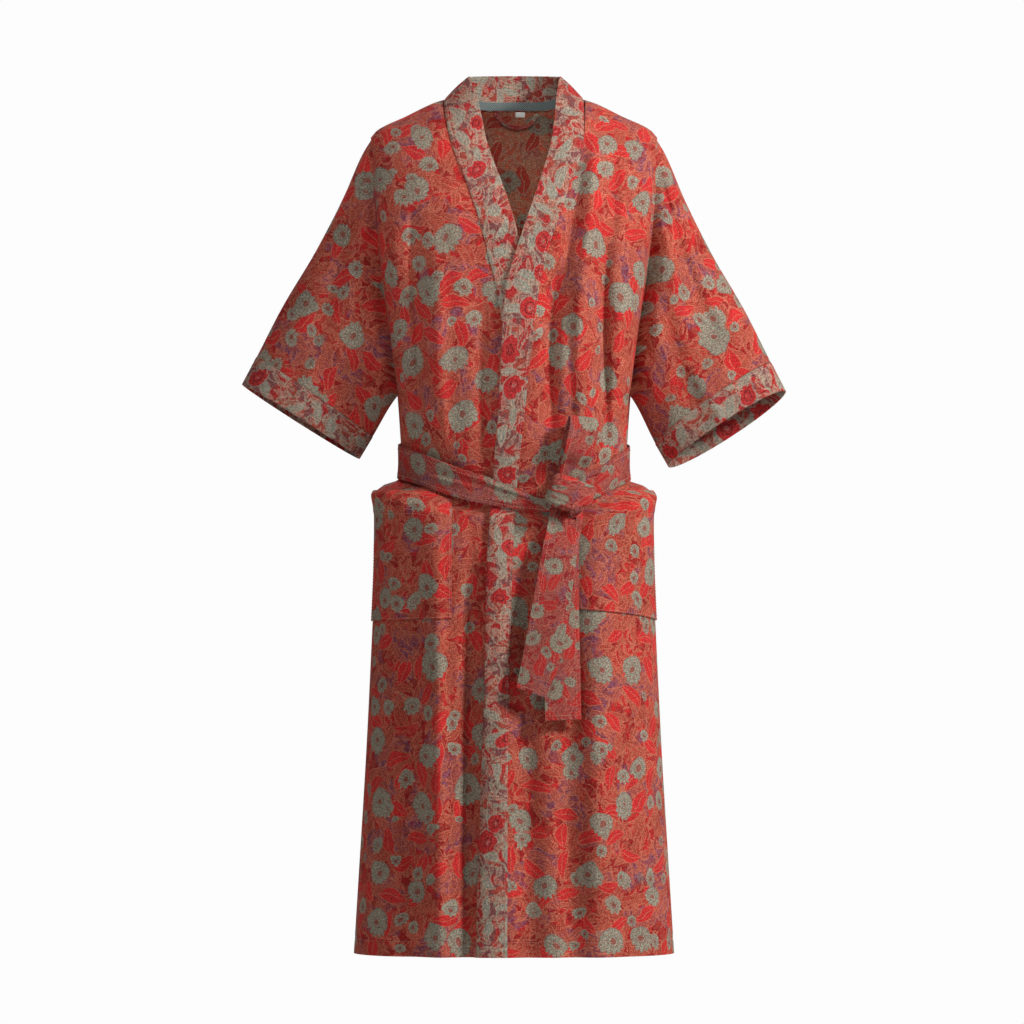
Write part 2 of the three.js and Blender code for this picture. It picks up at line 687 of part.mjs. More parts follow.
function pocket(side) {
  const sign = SIDES[side];
  const plan = POCKETS[side];
  const lift = FRONTS[side].lift;
  const panel = (u, v) => {
    const across = u / POCKET_STEPS;
    const share = v / POCKET_STEPS;
    const turned = (z) => mix(placeOnFront(sign * POCKET_INNER, z).angle, sign * POCKET_OUTER, across);
    const bottom = mix(plan.inner, plan.outer, across);
    const underBelt = beltHeight(FRONT, turned(POCKET_TOP)) - BELT_WIDTH_HALF - POCKET_UNDER;
    const z = mix(bottom, Math.min(POCKET_TOP, underBelt), share);
    const angle = turned(z);
    let row = flatRing(z);
    for (let i = 0; i < SETTLE; i += 1) {
      row = flatRing(z - sag(FRONT, angle, row.z));
    }
    return bodyOn(FRONT, angle, row, lift);
  };
  const stand = (u, v) => {
    const mouth = ramp((v / POCKET_STEPS - POCKET_FLAT) / (1 - POCKET_FLAT));
    const across = Math.sin(Math.PI * Math.min(Math.max(u / POCKET_STEPS, 0), 1)) ** 0.8;
    return sign * (POCKET_STAND + POCKET_GAPE * mouth * across);
  };
  const surface = movedOut(panel, HALF_STEP, HALF_STEP, stand);
  return wall(`pocket_${side}`, surface, POCKET_STEPS, POCKET_STEPS, CLOTH, LOOKS.body);
}

// Belt round the waist, from behind the knot across the right front, round the back and to the knot again
function beltSurface(u, v) {
  const turn = mix(BELT_TO, BELT_FROM, u / BELT_STEPS);
  const half = between(BELT, "turn", "half", turn);
  const drop = between(BELT, "turn", "drop", turn);
  const row = flatRing(BELT_SIDE + drop + half * ((2 * v) / BELT_ACROSS - 1));
  const radians = (turn * Math.PI) / 180;
  const onFront = Math.cos(radians) > 0;
  const angle = Math.asin(Math.sin(radians));
  return bodyOn(onFront ? FRONT : BACK, angle, row, onFront ? 1 : 0);
}

function belt() {
  const surface = movedOut(beltSurface, 0.25, 0.5, -BELT_STAND);
  return wall("belt_waist", surface, BELT_STEPS, BELT_ACROSS, FOLDED, LOOKS.belt);
}

function knot() {
  const rim = (angle) => {
    const along = Math.abs(Math.cos(angle));
    const across = Math.abs(Math.sin(angle));
    return (along ** KNOT.power + across ** KNOT.power) ** (-1 / KNOT.power);
  };
  const place = (share, angle, height) => {
    const along = rim(angle) * share * Math.cos(angle);
    const across = rim(angle) * share * Math.sin(angle);
    const x = KNOT.x + along * KNOT.alongX + across * KNOT.acrossX;
    const z = KNOT.z + along * KNOT.alongZ + across * KNOT.acrossZ;
    return offLeftFront(x, z, KNOT_STAND + KNOT.thick * height);
  };
  const angles = Array.from({ length: KNOT_AROUND }, (_, i) => (i / KNOT_AROUND) * 2 * Math.PI);
  const rings = KNOT_PROFILE.map(({ share, height }) => angles.map((angle) => place(share, angle, height)));
  return closedRings("belt_knot", rings, LOOKS.belt);
}

function bowLoop() {
  const surface = (u, v) => {
    const at = u / BOW_STEPS;
    const column = (name) => between(BOW_LOOP, "at", name, at);
    const across = v / 2 - 0.5;
    const z = column("z") - BOW_LEAN * across;
    return offLeftFront(column("x") + 2 * across * column("half"), z, column("stand"));
  };
  return wall("belt_loop", surface, BOW_STEPS, 2, FOLDED, LOOKS.belt);
}

function tail(name, table) {
  const surface = (u, v) => {
    const at = v / TAIL_STEPS;
    const column = (key) => between(table, "at", key, at);
    const x = mix(column("leftX"), column("rightX"), u / TAIL_ACROSS);
    const z = mix(column("leftZ"), column("rightZ"), u / TAIL_ACROSS);
    return offLeftFront(x, z, column("stand"));
  };
  return wall(name, surface, TAIL_ACROSS, TAIL_STEPS, FOLDED, LOOKS.belt);
}

// Inside of the back neck
function neckInside(x, z) {
  const swing = Math.asin(Math.max(-1, Math.min(1, x / BAND_HALF)));
  const seam = bandOnBack(swing / Math.PI + 0.5, 0);
  return new THREE.Vector3(x, seam.y - FOLDED / 2 - SEAM - TAPE / 2, z);
}

function hanger() {
  const centre = (s) => {
    const share = Math.min(Math.max(s / HANGER_STEPS, 0), 1);
    return new THREE.Vector2(between(HANGER, "at", "x", share), between(HANGER, "at", "z", share));
  };
  const surface = (u, v) => {
    const here = centre(u);
    const way = centre(u + HALF_STEP).sub(centre(u - HALF_STEP)).normalize();
    const off = HANGER_HALF * (v - 1);
    const hang = Math.sin((Math.PI * u) / HANGER_STEPS);
    const point = neckInside(here.x - way.y * off, here.y + way.x * off);
    point.y -= HANGER_WALL * hang;
    return point;
  };
  return wall("hanging_loop", surface, HANGER_STEPS, 2, HANGER_WALL, LOOKS.body);
}

function label() {
  const surface = (u, v) => neckInside(mix(LABEL.from, LABEL.to, u), mix(LABEL.low, LABEL.high, v));
  return wall("neck_label", surface, 1, 1, TAPE, LOOKS.label);
}

const robe = new THREE.Group();
robe.name = "kimono_robe";
robe.add(wall("back", backSurface, BACK_PANEL_STEPS, TOP, CLOTH, LOOKS.body));
for (const side of Object.keys(SIDES)) {
  robe.add(wall(`front_${side}`, frontSurface(side), FRONT_STEPS, TOP, CLOTH, LOOKS.body));
  robe.add(sleeve(side), cuff(side), pocket(side));
}
robe.add(wall("neckband", bandSurface, 2 * TOP + BACK_STEPS, BAND_STEPS, FOLDED, LOOKS.border));
robe.add(neckTape());
robe.add(belt(), knot(), bowLoop(), tail("belt_tail_front", TAIL_FRONT), tail("belt_tail_back", TAIL_BACK));
robe.add(hanger(), label());

export default robe;
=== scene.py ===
import math

import bmesh
import bpy
import numpy as np
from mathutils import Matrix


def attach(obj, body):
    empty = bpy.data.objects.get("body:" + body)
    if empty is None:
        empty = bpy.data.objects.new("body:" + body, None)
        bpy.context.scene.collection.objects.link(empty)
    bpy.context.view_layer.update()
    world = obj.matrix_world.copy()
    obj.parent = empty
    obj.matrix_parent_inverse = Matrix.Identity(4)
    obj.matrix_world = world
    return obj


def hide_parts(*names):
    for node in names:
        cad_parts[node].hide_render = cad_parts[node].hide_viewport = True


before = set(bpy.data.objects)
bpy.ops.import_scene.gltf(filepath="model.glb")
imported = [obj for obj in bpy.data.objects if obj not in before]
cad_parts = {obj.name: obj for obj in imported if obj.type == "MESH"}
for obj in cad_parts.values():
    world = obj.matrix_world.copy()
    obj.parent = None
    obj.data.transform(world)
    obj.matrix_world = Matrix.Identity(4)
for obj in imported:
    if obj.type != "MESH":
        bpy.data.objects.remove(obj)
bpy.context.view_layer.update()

# The shapes are worked out in millimetres, in the part's own frame: X to the wearer's left, Y to the
# back, Z up. "right" and "left" are the wearer's own. Meshes are written in metres.
MM = 0.001

# Cloth and the body that it is filled out on
CLOTH = 1.6  # one layer of brushed cotton
FOLDED = 2.6  # two layers: neckband, cuffs and belt
TAPE = 1.0
SEAM = 0.3  # gap between two pieces at a seam
EASE = 0.4

UNDERARM = -385
CHEST = -211
ARMHOLE_HALF = 52
SQUARENESS = 0.12
NECK_HALF = 95
NECK_DIP = 0.27
SHOULDER_TIP = -38
LOWER = 22
UPPER = 12
TOP = LOWER + UPPER
SIDES = {"right": -1, "left": 1}
FRONT = -1
BACK = 1

ROWS = {"v": [0, 9, 14, 16, 22], "z": [-1146, -640, -516, -504, -385]}
RINGS = {
    "z": [-1146, -1034, -870, -707, -600, -540, -516, -510, -504, -478, -440, -385, -320, -211, -135,
          -75, -38],
    "half": [217, 210, 200, 192, 187, 183, 185, 173, 155, 152, 154, 158, 165, 180, 186, 190, 194],
    "front": [138, 134, 127, 120, 114, 108, 105, 103.5, 102, 101, 108, 114, 117, 117, 117, 117, 117],
    "back": [138, 134, 128, 123, 119, 113, 107, 103, 98, 95, 98, 103, 108, 112, 112, 112, 112],
}
SHOULDER = {"out": [0, 60, 95, 150, 185, 194], "z": [20, 18, 13, -11, -28, -38]}
OVER_EDGE = {
    "z": [-1146, -948, -801, -612, -513, -407, -330, -245, -188, -163, -105, -48, 12, 17],
    "seam": [-9, -9, -7, -2, 4, 15, 23, 34, 47, 56, 75, 94, 97, 97],
    "free": [-51, -45, -40, -36, -29, -21, -17, -11, 5, 13, 33, 50, 60, 62],
}
UNDER_EDGE = {
    "z": [-1146, -801, -555, -430, -330, -257, -197, -163, -111, -50, 0, 12, 17],
    "seam": [9, 7, 1, -8, -13, -21, -36, -44, -61, -84, -96, -97, -97],
    "free": [51, 42, 36, 29, 25, 20, 10, 3, -13, -36, -50, -58, -60],
}
EDGES = {"right": UNDER_EDGE, "left": OVER_EDGE}
LIFTS = {"right": 0, "left": 1}
LAP = {"z": [-1146, -700, -560, -500, -430, -300, -160, -60], "lift": [7, 6, 4, 4, 6.5, 7, 5, 0]}
LAP_FROM = 98
LAP_FULL = 50

BELT = {
    "turn": [-333, -317, -298, -270, -180, -90, -54, -31, -17, 0, 12, 24],
    "mid": [-519, -507, -490, -480, -466, -478, -487, -503, -514, -521, -523, -525],
    "half": [20, 20, 22, 23, 23, 23, 22, 21, 20, 14.5, 8.5, 8],
    "drop": [0, 0, 0, 0, 0, 0, 0, 0, 0, -7, -14, -16],
}
BELT_FROM = -333
BELT_TO = 24
BELT_HALF = 23
BELT_SIDE = -478
BELT_HOLD = 40
BELT_FADE = 110
BELT_STAND = FOLDED + SEAM + 1.5 * EASE
NEXT = FOLDED + SEAM + EASE

# Main folds. Each is a ridge (+) or a trough (-) from (x, high) down to (x_low, low). It fades in and out
# along its length, and one of its flanks is steeper than the other: "steep" is that flank's side in X.
FOLDS = [
    # the wearer's left chest, from the shoulder down to the belt
    (FRONT, 113, 86, -30, -310, 11, 9, -1),
    (FRONT, 86, 92, -190, -486, 14, 13, -1),
    (FRONT, 98, 56, -30, -310, 11, -11, 1),
    (FRONT, 54, 50, -190, -486, 13, -18, 1),
    (FRONT, 124, 124, -160, -486, 10, -21, 1),
    (FRONT, 146, 142, -220, -480, 8, 7, 0),
    (FRONT, 139, 130, -30, -240, 8, -6, 0),
    # the right chest
    (FRONT, -162, -157, -100, -420, 9, 7, 0),
    (FRONT, -139, -124, -130, -490, 10, -17, -1),
    (FRONT, -103, -103, -170, -486, 15, 12, 0),
    (FRONT, -80, -72, -100, -330, 14, 4, 0),
    (FRONT, -44, -34, -230, -520, 12, -7, 0),
    # the skirt
    (FRONT, -106, -98, -500, -1300, 17, 15, 1),
    (FRONT, -140, -136, -520, -1300, 17, -13, 0),
    (FRONT, -58, -64, -540, -1300, 12, -14, 0),
    (FRONT, 112, 120, -500, -1300, 34, 22, -1),
    (FRONT, 66, 78, -540, -1300, 18, -11, 0),
    (FRONT, 146, 156, -600, -1300, 14, -5, 0),
    (FRONT, 14, 22, -515, -1300, 21, -16, 0),
    (BACK, -120, -85, -120, -440, 20, -6, 1),
    (BACK, 118, 78, -120, -440, 20, -6, -1),
    (BACK, -20, -35, -200, -440, 22, 4, 0),
    (BACK, 40, 52, -250, -440, 18, -5, 0),
    (BACK, -100, -130, -500, -1300, 24, -7, 0),
    (BACK, -40, -52, -500, -1300, 24, 5, 0),
    (BACK, 30, 40, -500, -1300, 22, -6, 0),
    (BACK, 96, 118, -500, -1300, 26, 6, 0),
]
FOLD_FADE = 25

# Smaller creases, listed one by one: from (x, z) to (x_end, z_end)
CREASES = [
    # drag lines from the neckband towards the armholes
    (FRONT, 109, -7, 117, -40, 4, -1.8),
    (FRONT, 121, -14, 132, -70, 7, 1.4),
    (FRONT, -112, -30, -134, -120, 8, -1.6),
    (FRONT, -96, -60, -118, -175, 9, 1.5),
    (FRONT, 160, -60, 150, -190, 7, -2.2),
    (FRONT, 146, -70, 134, -210, 8, 1.6),
    (FRONT, -163, -70, -152, -200, 7, -2.0),
    (FRONT, -172, -110, -166, -260, 6, 1.8),
    (FRONT, 170, -150, 160, -330, 6, -1.8),
    # pulled towards the belt
    (FRONT, -140, -380, -138, -455, 6, -2.6),
    (FRONT, -127, -400, -126, -458, 5, 2.2),
    (FRONT, -92, -395, -90, -462, 6, 2.4),
    (FRONT, -52, -360, -44, -475, 9, -2.2),
    (FRONT, -30, -410, -26, -482, 6, 1.8),
    (FRONT, 40, -330, 32, -480, 10, 2.6),
    (FRONT, 60, -380, 58, -478, 7, -2.6),
    (FRONT, 84, -350, 82, -472, 7, 2.2),
    (FRONT, 95, -300, 96, -440, 6, -1.8),
    (FRONT, 146, -360, 142, -452, 5, 2.4),
    # gathers that spring from under the belt
    (FRONT, -158, -500, -152, -530, 4, -2.4),
    (FRONT, -150, -498, -146, -560, 5, 2.6),
    (FRONT, -60, -515, -64, -640, 8, 1.8),
    (FRONT, -46, -520, -52, -700, 7, -1.8),
    (FRONT, 131, -512, 136, -580, 5, 2.6),
    (FRONT, 143, -508, 152, -560, 4, -2.6),
    (FRONT, 20, -546, 26, -720, 9, 1.8),
    (FRONT, 28, -720, 34, -1060, 14, -2.2),
    (FRONT, 70, -830, 66, -1160, 16, 2.4),
    (FRONT, -66, -760, -60, -1160, 12, -2.0),
    (FRONT, -170, -760, -178, -1160, 12, 2.6),
    (FRONT, 178, -730, 186, -1160, 12, -2.4),
    # the back: pulled in by the belt, and the fall of the skirt
    (BACK, 150, -90, 128, -250, 9, 2.6),
    (BACK, -146, -80, -126, -260, 9, 2.4),
    (BACK, 60, -20, 84, -120, 8, -1.6),
    (BACK, -64, -30, -90, -140, 9, -1.8),
    (BACK, 132, -300, 110, -450, 7, 2.6),
    (BACK, -140, -290, -118, -452, 7, 2.8),
    (BACK, -64, -330, -60, -448, 6, -2.4),
    (BACK, 4, -310, 8, -446, 7, 2.4),
    (BACK, 92, -380, 96, -450, 5, -2.6),
    (BACK, 24, -370, 22, -446, 5, -2.2),
    (BACK, -102, -390, -100, -450, 5, 2.2),
    (BACK, -20, -492, -22, -600, 6, 2.6),
    (BACK, -76, -492, -84, -690, 7, -2.8),
    (BACK, 64, -492, 70, -660, 7, 2.4),
    (BACK, 12, -494, 10, -570, 5, -2.4),
    (BACK, 118, -498, 130, -620, 6, -2.6),
    (BACK, -128, -500, -142, -600, 6, 2.4),
    (BACK, -10, -760, -4, -1160, 14, -2.6),
    (BACK, 70, -700, 74, -1160, 15, -2.8),
    (BACK, -160, -800, -172, -1160, 13, 3.0),
    (BACK, 150, -820, 160, -1160, 13, -2.6),
]
# Slow unevenness of the filled-out cloth: waves by length and direction
WAVES = [
    (310, 0.3, 1.1, 0.7), (187, 1.2, 0.9, 2.1), (131, 2.3, 0.55, 4.4), (88, 0.9, 0.4, 1.3),
    (67, 1.9, 0.28, 5.2), (43, 2.7, 0.16, 3.0),
]

SLEEVE = {
    "t": [0, 0.07, 0.27, 0.5, 0.72, 0.89, 1],
    "top_x": [194, 207, 232, 270, 314, 349, 369],
    "top_z": [-38, -60, -119, -194, -268, -336, -374],
    "under_x": [158, 163, 171, 178, 185, 193, 211],
    "under_z": [-385, -391, -404, -417, -430, -444, -474],
    "deep": [52, 57, 62, 58, 50, 43, 40],
}
CUFF_AT = 0.89
SEAM_TUCK = 2.5
SEAM_VALLEY = 15
ARMS = {"right": {"drop": 0, "tilt": 4, "fall": 0}, "left": {"drop": 10, "tilt": 14, "fall": 10}}
# Folds of a sleeve run from (angle, from) to (angle_end, to), angles round it and shares of its length
SLEEVE_FOLDS = [
    (FRONT, 0.9, 0.35, 0.02, 0.75, 0.16, -8),
    (FRONT, 0.1, -0.5, 0.1, 1.1, 0.2, -6),
    (BACK, 0.7, 0.1, 0.05, 0.9, 0.2, -8),
    (BACK, -0.3, -0.5, 0.2, 1.1, 0.22, 5),
]
SLEEVE_CREASES = {
    "right": [
        (FRONT, 1.05, 0.8, 0.0, 0.34, 0.06, -2.2), (FRONT, 0.55, 0.3, 0.0, 0.42, 0.08, 2.6),
        (FRONT, -0.25, -0.55, 0.0, 0.4, 0.07, -2.4), (FRONT, -0.8, -0.9, 0.05, 0.6, 0.1, 2.4),
        (FRONT, 0.2, 0.05, 0.45, 1.2, 0.08, 2.2), (FRONT, -0.7, -0.62, 0.5, 1.2, 0.09, -2.2),
        (BACK, 0.95, 0.7, 0.0, 0.4, 0.07, -2.4), (BACK, 0.3, 0.0, 0.0, 0.5, 0.08, 2.6),
        (BACK, -0.6, -0.8, 0.1, 0.7, 0.08, -2.6), (BACK, 0.4, 0.3, 0.5, 1.2, 0.09, -2.0),
    ],
    "left": [
        (FRONT, 1.0, 0.85, 0.0, 0.3, 0.06, -2.4), (FRONT, 0.5, 0.2, 0.02, 0.5, 0.09, 2.8),
        (FRONT, -0.3, -0.5, 0.0, 0.34, 0.06, -2.6), (FRONT, -0.85, -0.8, 0.1, 0.7, 0.1, 2.0),
        (FRONT, 0.6, 0.5, 0.5, 1.2, 0.09, -2.2), (FRONT, -0.2, -0.1, 0.5, 1.2, 0.08, 2.4),
        (BACK, 1.0, 0.65, 0.0, 0.44, 0.07, -2.2), (BACK, 0.25, 0.1, 0.0, 0.4, 0.07, 2.4),
        (BACK, -0.5, -0.75, 0.1, 0.8, 0.09, -2.8), (BACK, 0.5, 0.35, 0.55, 1.2, 0.08, 2.0),
    ],
}


def between(table, by, name, at):
    """Smoothly between the rows of a table, along one named column, and straight on past its ends."""
    keys = np.array(table[by], float)
    values = np.array(table[name], float)
    at = np.asarray(at, float)
    slopes = np.diff(values) / np.diff(keys)
    before = np.concatenate([slopes[:1], slopes])
    after = np.concatenate([slopes, slopes[-1:]])
    same_way = before * after > 0
    tangents = np.where(same_way, 2 * before * after / np.where(same_way, before + after, 1), 0)
    i = np.clip(np.searchsorted(keys, at) - 1, 0, len(keys) - 2)
    span = keys[i + 1] - keys[i]
    s = (at - keys[i]) / span
    a = 2 * s**3 - 3 * s**2 + 1
    inside = a * values[i] + (1 - a) * values[i + 1]
    inside = inside + span * ((s**3 - 2 * s**2 + s) * tangents[i] + (s**3 - s**2) * tangents[i + 1])
    below = values[i] + slopes[i] * (at - keys[i])
    above = values[i + 1] + slopes[i] * (at - keys[i + 1])
    return np.where(s < 0, below, np.where(s > 1, above, inside))


def ramp(value):
    s = np.clip(value, 0, 1)
    return s * s * (3 - 2 * s)


def mix(a, b, share):
    return a + (b - a) * share


def angle_at(share):
    """Angle round the ring whose point lies at this share of the half width."""
    angle = np.arcsin(np.clip(np.asarray(share, float) / (1 + SQUARENESS), -1, 1))
    for _ in range(8):
        sin, cos = np.sin(angle), np.cos(angle)
        off = sin * (1 + SQUARENESS * cos * cos) - share
        rate = cos * (1 + SQUARENESS * (cos * cos - 2 * sin * sin))
        angle = angle - off / np.maximum(rate, 0.05)
    return angle


def flat_ring(z, side=0.0):
    z = np.asarray(z, float)
    return {"z": z, "height": z, "side": side, "round": 1.0, "rise": 0.0 * z}


def ring(v, dip=0.0):
    """The ring of a row: flat below the chest, rising to the shoulder line above it."""
    v = np.asarray(v, float)
    angle = ((v - LOWER) / UPPER - 0.5) * np.pi
    low = v <= LOWER
    top = ~low & (angle > 0)
    lower_z = np.interp(v, ROWS["v"], ROWS["z"]) + np.minimum(v, 0) * 56.0
    z = np.where(low, lower_z, np.where(top, CHEST, CHEST + (CHEST - UNDERARM) * np.sin(angle)))
    side = np.where(low, 0, np.where(top, ARMHOLE_HALF, ARMHOLE_HALF * np.cos(angle)))
    height = np.where(top, CHEST + (SHOULDER_TIP - CHEST) * np.sin(angle), z)
    dipped = angle * (1 - dip)
    return {
        "z": z, "height": height, "side": side,
        "round": np.where(top, np.cos(dipped), 1), "rise": np.where(top, np.sin(dipped), 0),
    }


def belt_height(face, angle):
    degrees = np.degrees(angle)
    turn = degrees if face == FRONT else -180 - degrees
    return between(BELT, "turn", "mid", np.where(turn > BELT_TO, turn - 360, turn))


def sag(face, angle, z):
    near = 1 - ramp((np.abs(z - BELT_SIDE) - BELT_HOLD) / BELT_FADE)
    return (belt_height(face, angle) - BELT_SIDE) * near


def angle_for(row, x):
    return angle_at(x / between(RINGS, "z", "half", row["height"]))


def main_folds(face, x, z):
    depth = np.zeros(np.broadcast(x, z).shape)
    for side, start, end, high, low, width, deep, steep in FOLDS:
        if side != face:
            continue
        along = (high - z) / (high - low)
        inside = (along > 0) & (along < 1)
        off = (x - mix(start, end, along)) / width
        off = off * np.where(off * steep > 0, 1.5, 1.0 - 0.18 * abs(steep))
        fade = np.sin(np.pi * np.clip(along, 0, 1)) ** 0.7
        depth = depth + np.where(inside, deep * np.exp(-off * off) * fade, 0)
    return depth


def small_creases(face, x, z):
    depth = np.zeros(np.broadcast(x, z).shape)
    for side, x0, z0, x1, z1, width, deep in CREASES:
        if side != face:
            continue
        dx, dz = x1 - x0, z1 - z0
        length = math.hypot(dx, dz)
        along = np.clip(((x - x0) * dx + (z - z0) * dz) / length**2, 0, 1)
        # a slight bow keeps a crease from being a straight rod
        bow = 0.05 * length * np.sin(np.pi * along) * (1 if (x0 + z0) % 2 else -1)
        across = ((x - x0) * dz - (z - z0) * dx) / length - bow
        beyond = np.hypot(x - (x0 + dx * along), z - (z0 + dz * along))
        wide = width * mix(0.7, 1.35, along)
        flank = np.where(across > 0, 1.35, 0.85)
        end = np.exp(-np.maximum(beyond - np.abs(across + bow), 0) / width)
        fade = np.sin(np.pi * mix(0.06, 0.94, along)) ** 0.8
        depth = depth + deep * np.exp(-((across / wide * flank) ** 2)) * fade * end
    return depth


def waves(face, x, z):
    depth = 0.0
    for length, way, size, start in WAVES:
        phase = start + 2.1 * face
        run = (x * math.cos(way) + z * math.sin(way) * 0.6) * 2 * np.pi / length
        depth = depth + size * np.sin(run + phase + 0.7 * np.sin(z / 140 + phase))
    return depth


def lap(x, z):
    return between(LAP, "z", "lift", np.minimum(z, -60)) * ramp((LAP_FROM - x) / (LAP_FROM - LAP_FULL))


def body_on(face, angle, row, lift=0, relief=1.0):
    """A point of the body: face, angle from its middle, and row; relief 0 leaves the folds off."""
    sin, cos = np.sin(angle), np.cos(angle)
    x = between(RINGS, "z", "half", row["height"]) * sin * (1 + SQUARENESS * cos * cos)
    shoulder = between(SHOULDER, "out", "z", np.abs(x))
    flat = row["rise"] == 0
    z = np.where(flat, row["z"] + sag(face, angle, row["z"]), CHEST + (shoulder - CHEST) * row["rise"])
    deep = between(RINGS, "z", "front" if face == FRONT else "back", row["z"])
    depth = row["side"] + (deep - row["side"]) * cos * (1 + SQUARENESS * sin * sin)
    from_belt = np.abs(z - belt_height(face, angle)) - BELT_HALF
    folds = main_folds(face, x, z) * ramp(from_belt / FOLD_FADE)
    creases = (small_creases(face, x, z) + waves(face, x, z) * ramp(from_belt / 60)) * ramp(from_belt / 9)
    out = (depth + relief * (folds + creases) * cos) * row["round"]
    y = face * (out + SEAM / 2 + lift * lap(x, z))
    return np.stack(np.broadcast_arrays(x, y, z), axis=-1)


def place_on_front(x, z):
    row = flat_ring(z)
    angle = 0 * z
    for _ in range(6):
        angle = angle_for(row, x)
        row = flat_ring(z - sag(FRONT, angle, row["z"]))
    return angle, row


def out_of(surface, u, v, step_u, step_v):
    along_u = surface(u + step_u, v) - surface(u - step_u, v)
    along_v = surface(u, v + step_v) - surface(u, v - step_v)
    normal = np.cross(along_u, along_v)
    return normal / np.maximum(np.linalg.norm(normal, axis=-1, keepdims=True), 1e-9)


# The surfaces of the pieces, in the place of their CAD solids
def edge_angle(side, column, v, shift=0.0):
    """Angle at which a front's seam or free edge crosses a row."""
    row = ring(v)
    x = SIDES[side] * NECK_HALF + 0 * np.asarray(v, float)
    for _ in range(6):
        z = body_on(FRONT, angle_for(row, x), row)[..., 2]
        x = between(EDGES[side], "z", column, np.minimum(z, 17)) + shift
    return angle_for(row, x)


def front_surface(side):
    """u from 0 at the neckband seam to 1 at the side seam, v by rows."""
    outer = SIDES[side] * np.pi / 2

    def surface(u, v):
        angle = mix(edge_angle(side, "seam", v), outer, u)
        return body_on(FRONT, angle, ring(v), LIFTS[side])
    return surface


def back_surface(u, v):
    angle = (np.asarray(u, float) - 0.5) * np.pi
    x = body_on(BACK, angle, ring(v))[..., 0]
    share = np.minimum(np.abs(x) / NECK_HALF, 1)
    return body_on(BACK, angle, ring(v, NECK_DIP * (1 - share**4)))


BAND_RISE = 27
BAND_TOP = 48
BAND_TOP_HALF = 61
BAND_TOP_BACK = 41
BAND_SIDE_TOP = 44
BAND_IN = 3 * EASE + (FOLDED + CLOTH) / 2


def band_on_front(side, v, across):
    sign = SIDES[side]
    upright = ramp((((np.asarray(v, float) - LOWER) / UPPER - 0.5) * 2 - 0.4) / 0.6)
    start = edge_angle(side, "seam", v, -sign * (SEAM + upright * BAND_IN))
    angle = mix(start, edge_angle(side, "free", v), across)
    point = body_on(FRONT, angle, ring(v), LIFTS[side])
    point[..., 2] += BAND_RISE * across * upright
    return point


def band_on_back(share, across):
    swing = (np.asarray(share, float) - 0.5) * np.pi
    x = (NECK_HALF + 2) * np.sin(swing)
    near = np.minimum(np.abs(x) / NECK_HALF, 1)
    row = ring(TOP + 0 * x, NECK_DIP * (1 - near**4))
    seam = body_on(BACK, angle_for(row, x), row)
    seam[..., 0] -= (SEAM + BAND_IN) * np.sin(swing)
    seam[..., 1] -= (SEAM + BAND_IN) * np.cos(swing)
    cos = np.maximum(np.cos(swing), 0)
    free = np.stack([BAND_TOP_HALF * np.sin(swing), BAND_TOP_BACK * cos**0.8,
                     mix(BAND_SIDE_TOP, BAND_TOP, cos)], axis=-1)
    return mix(seam, free, np.asarray(across, float)[..., None])


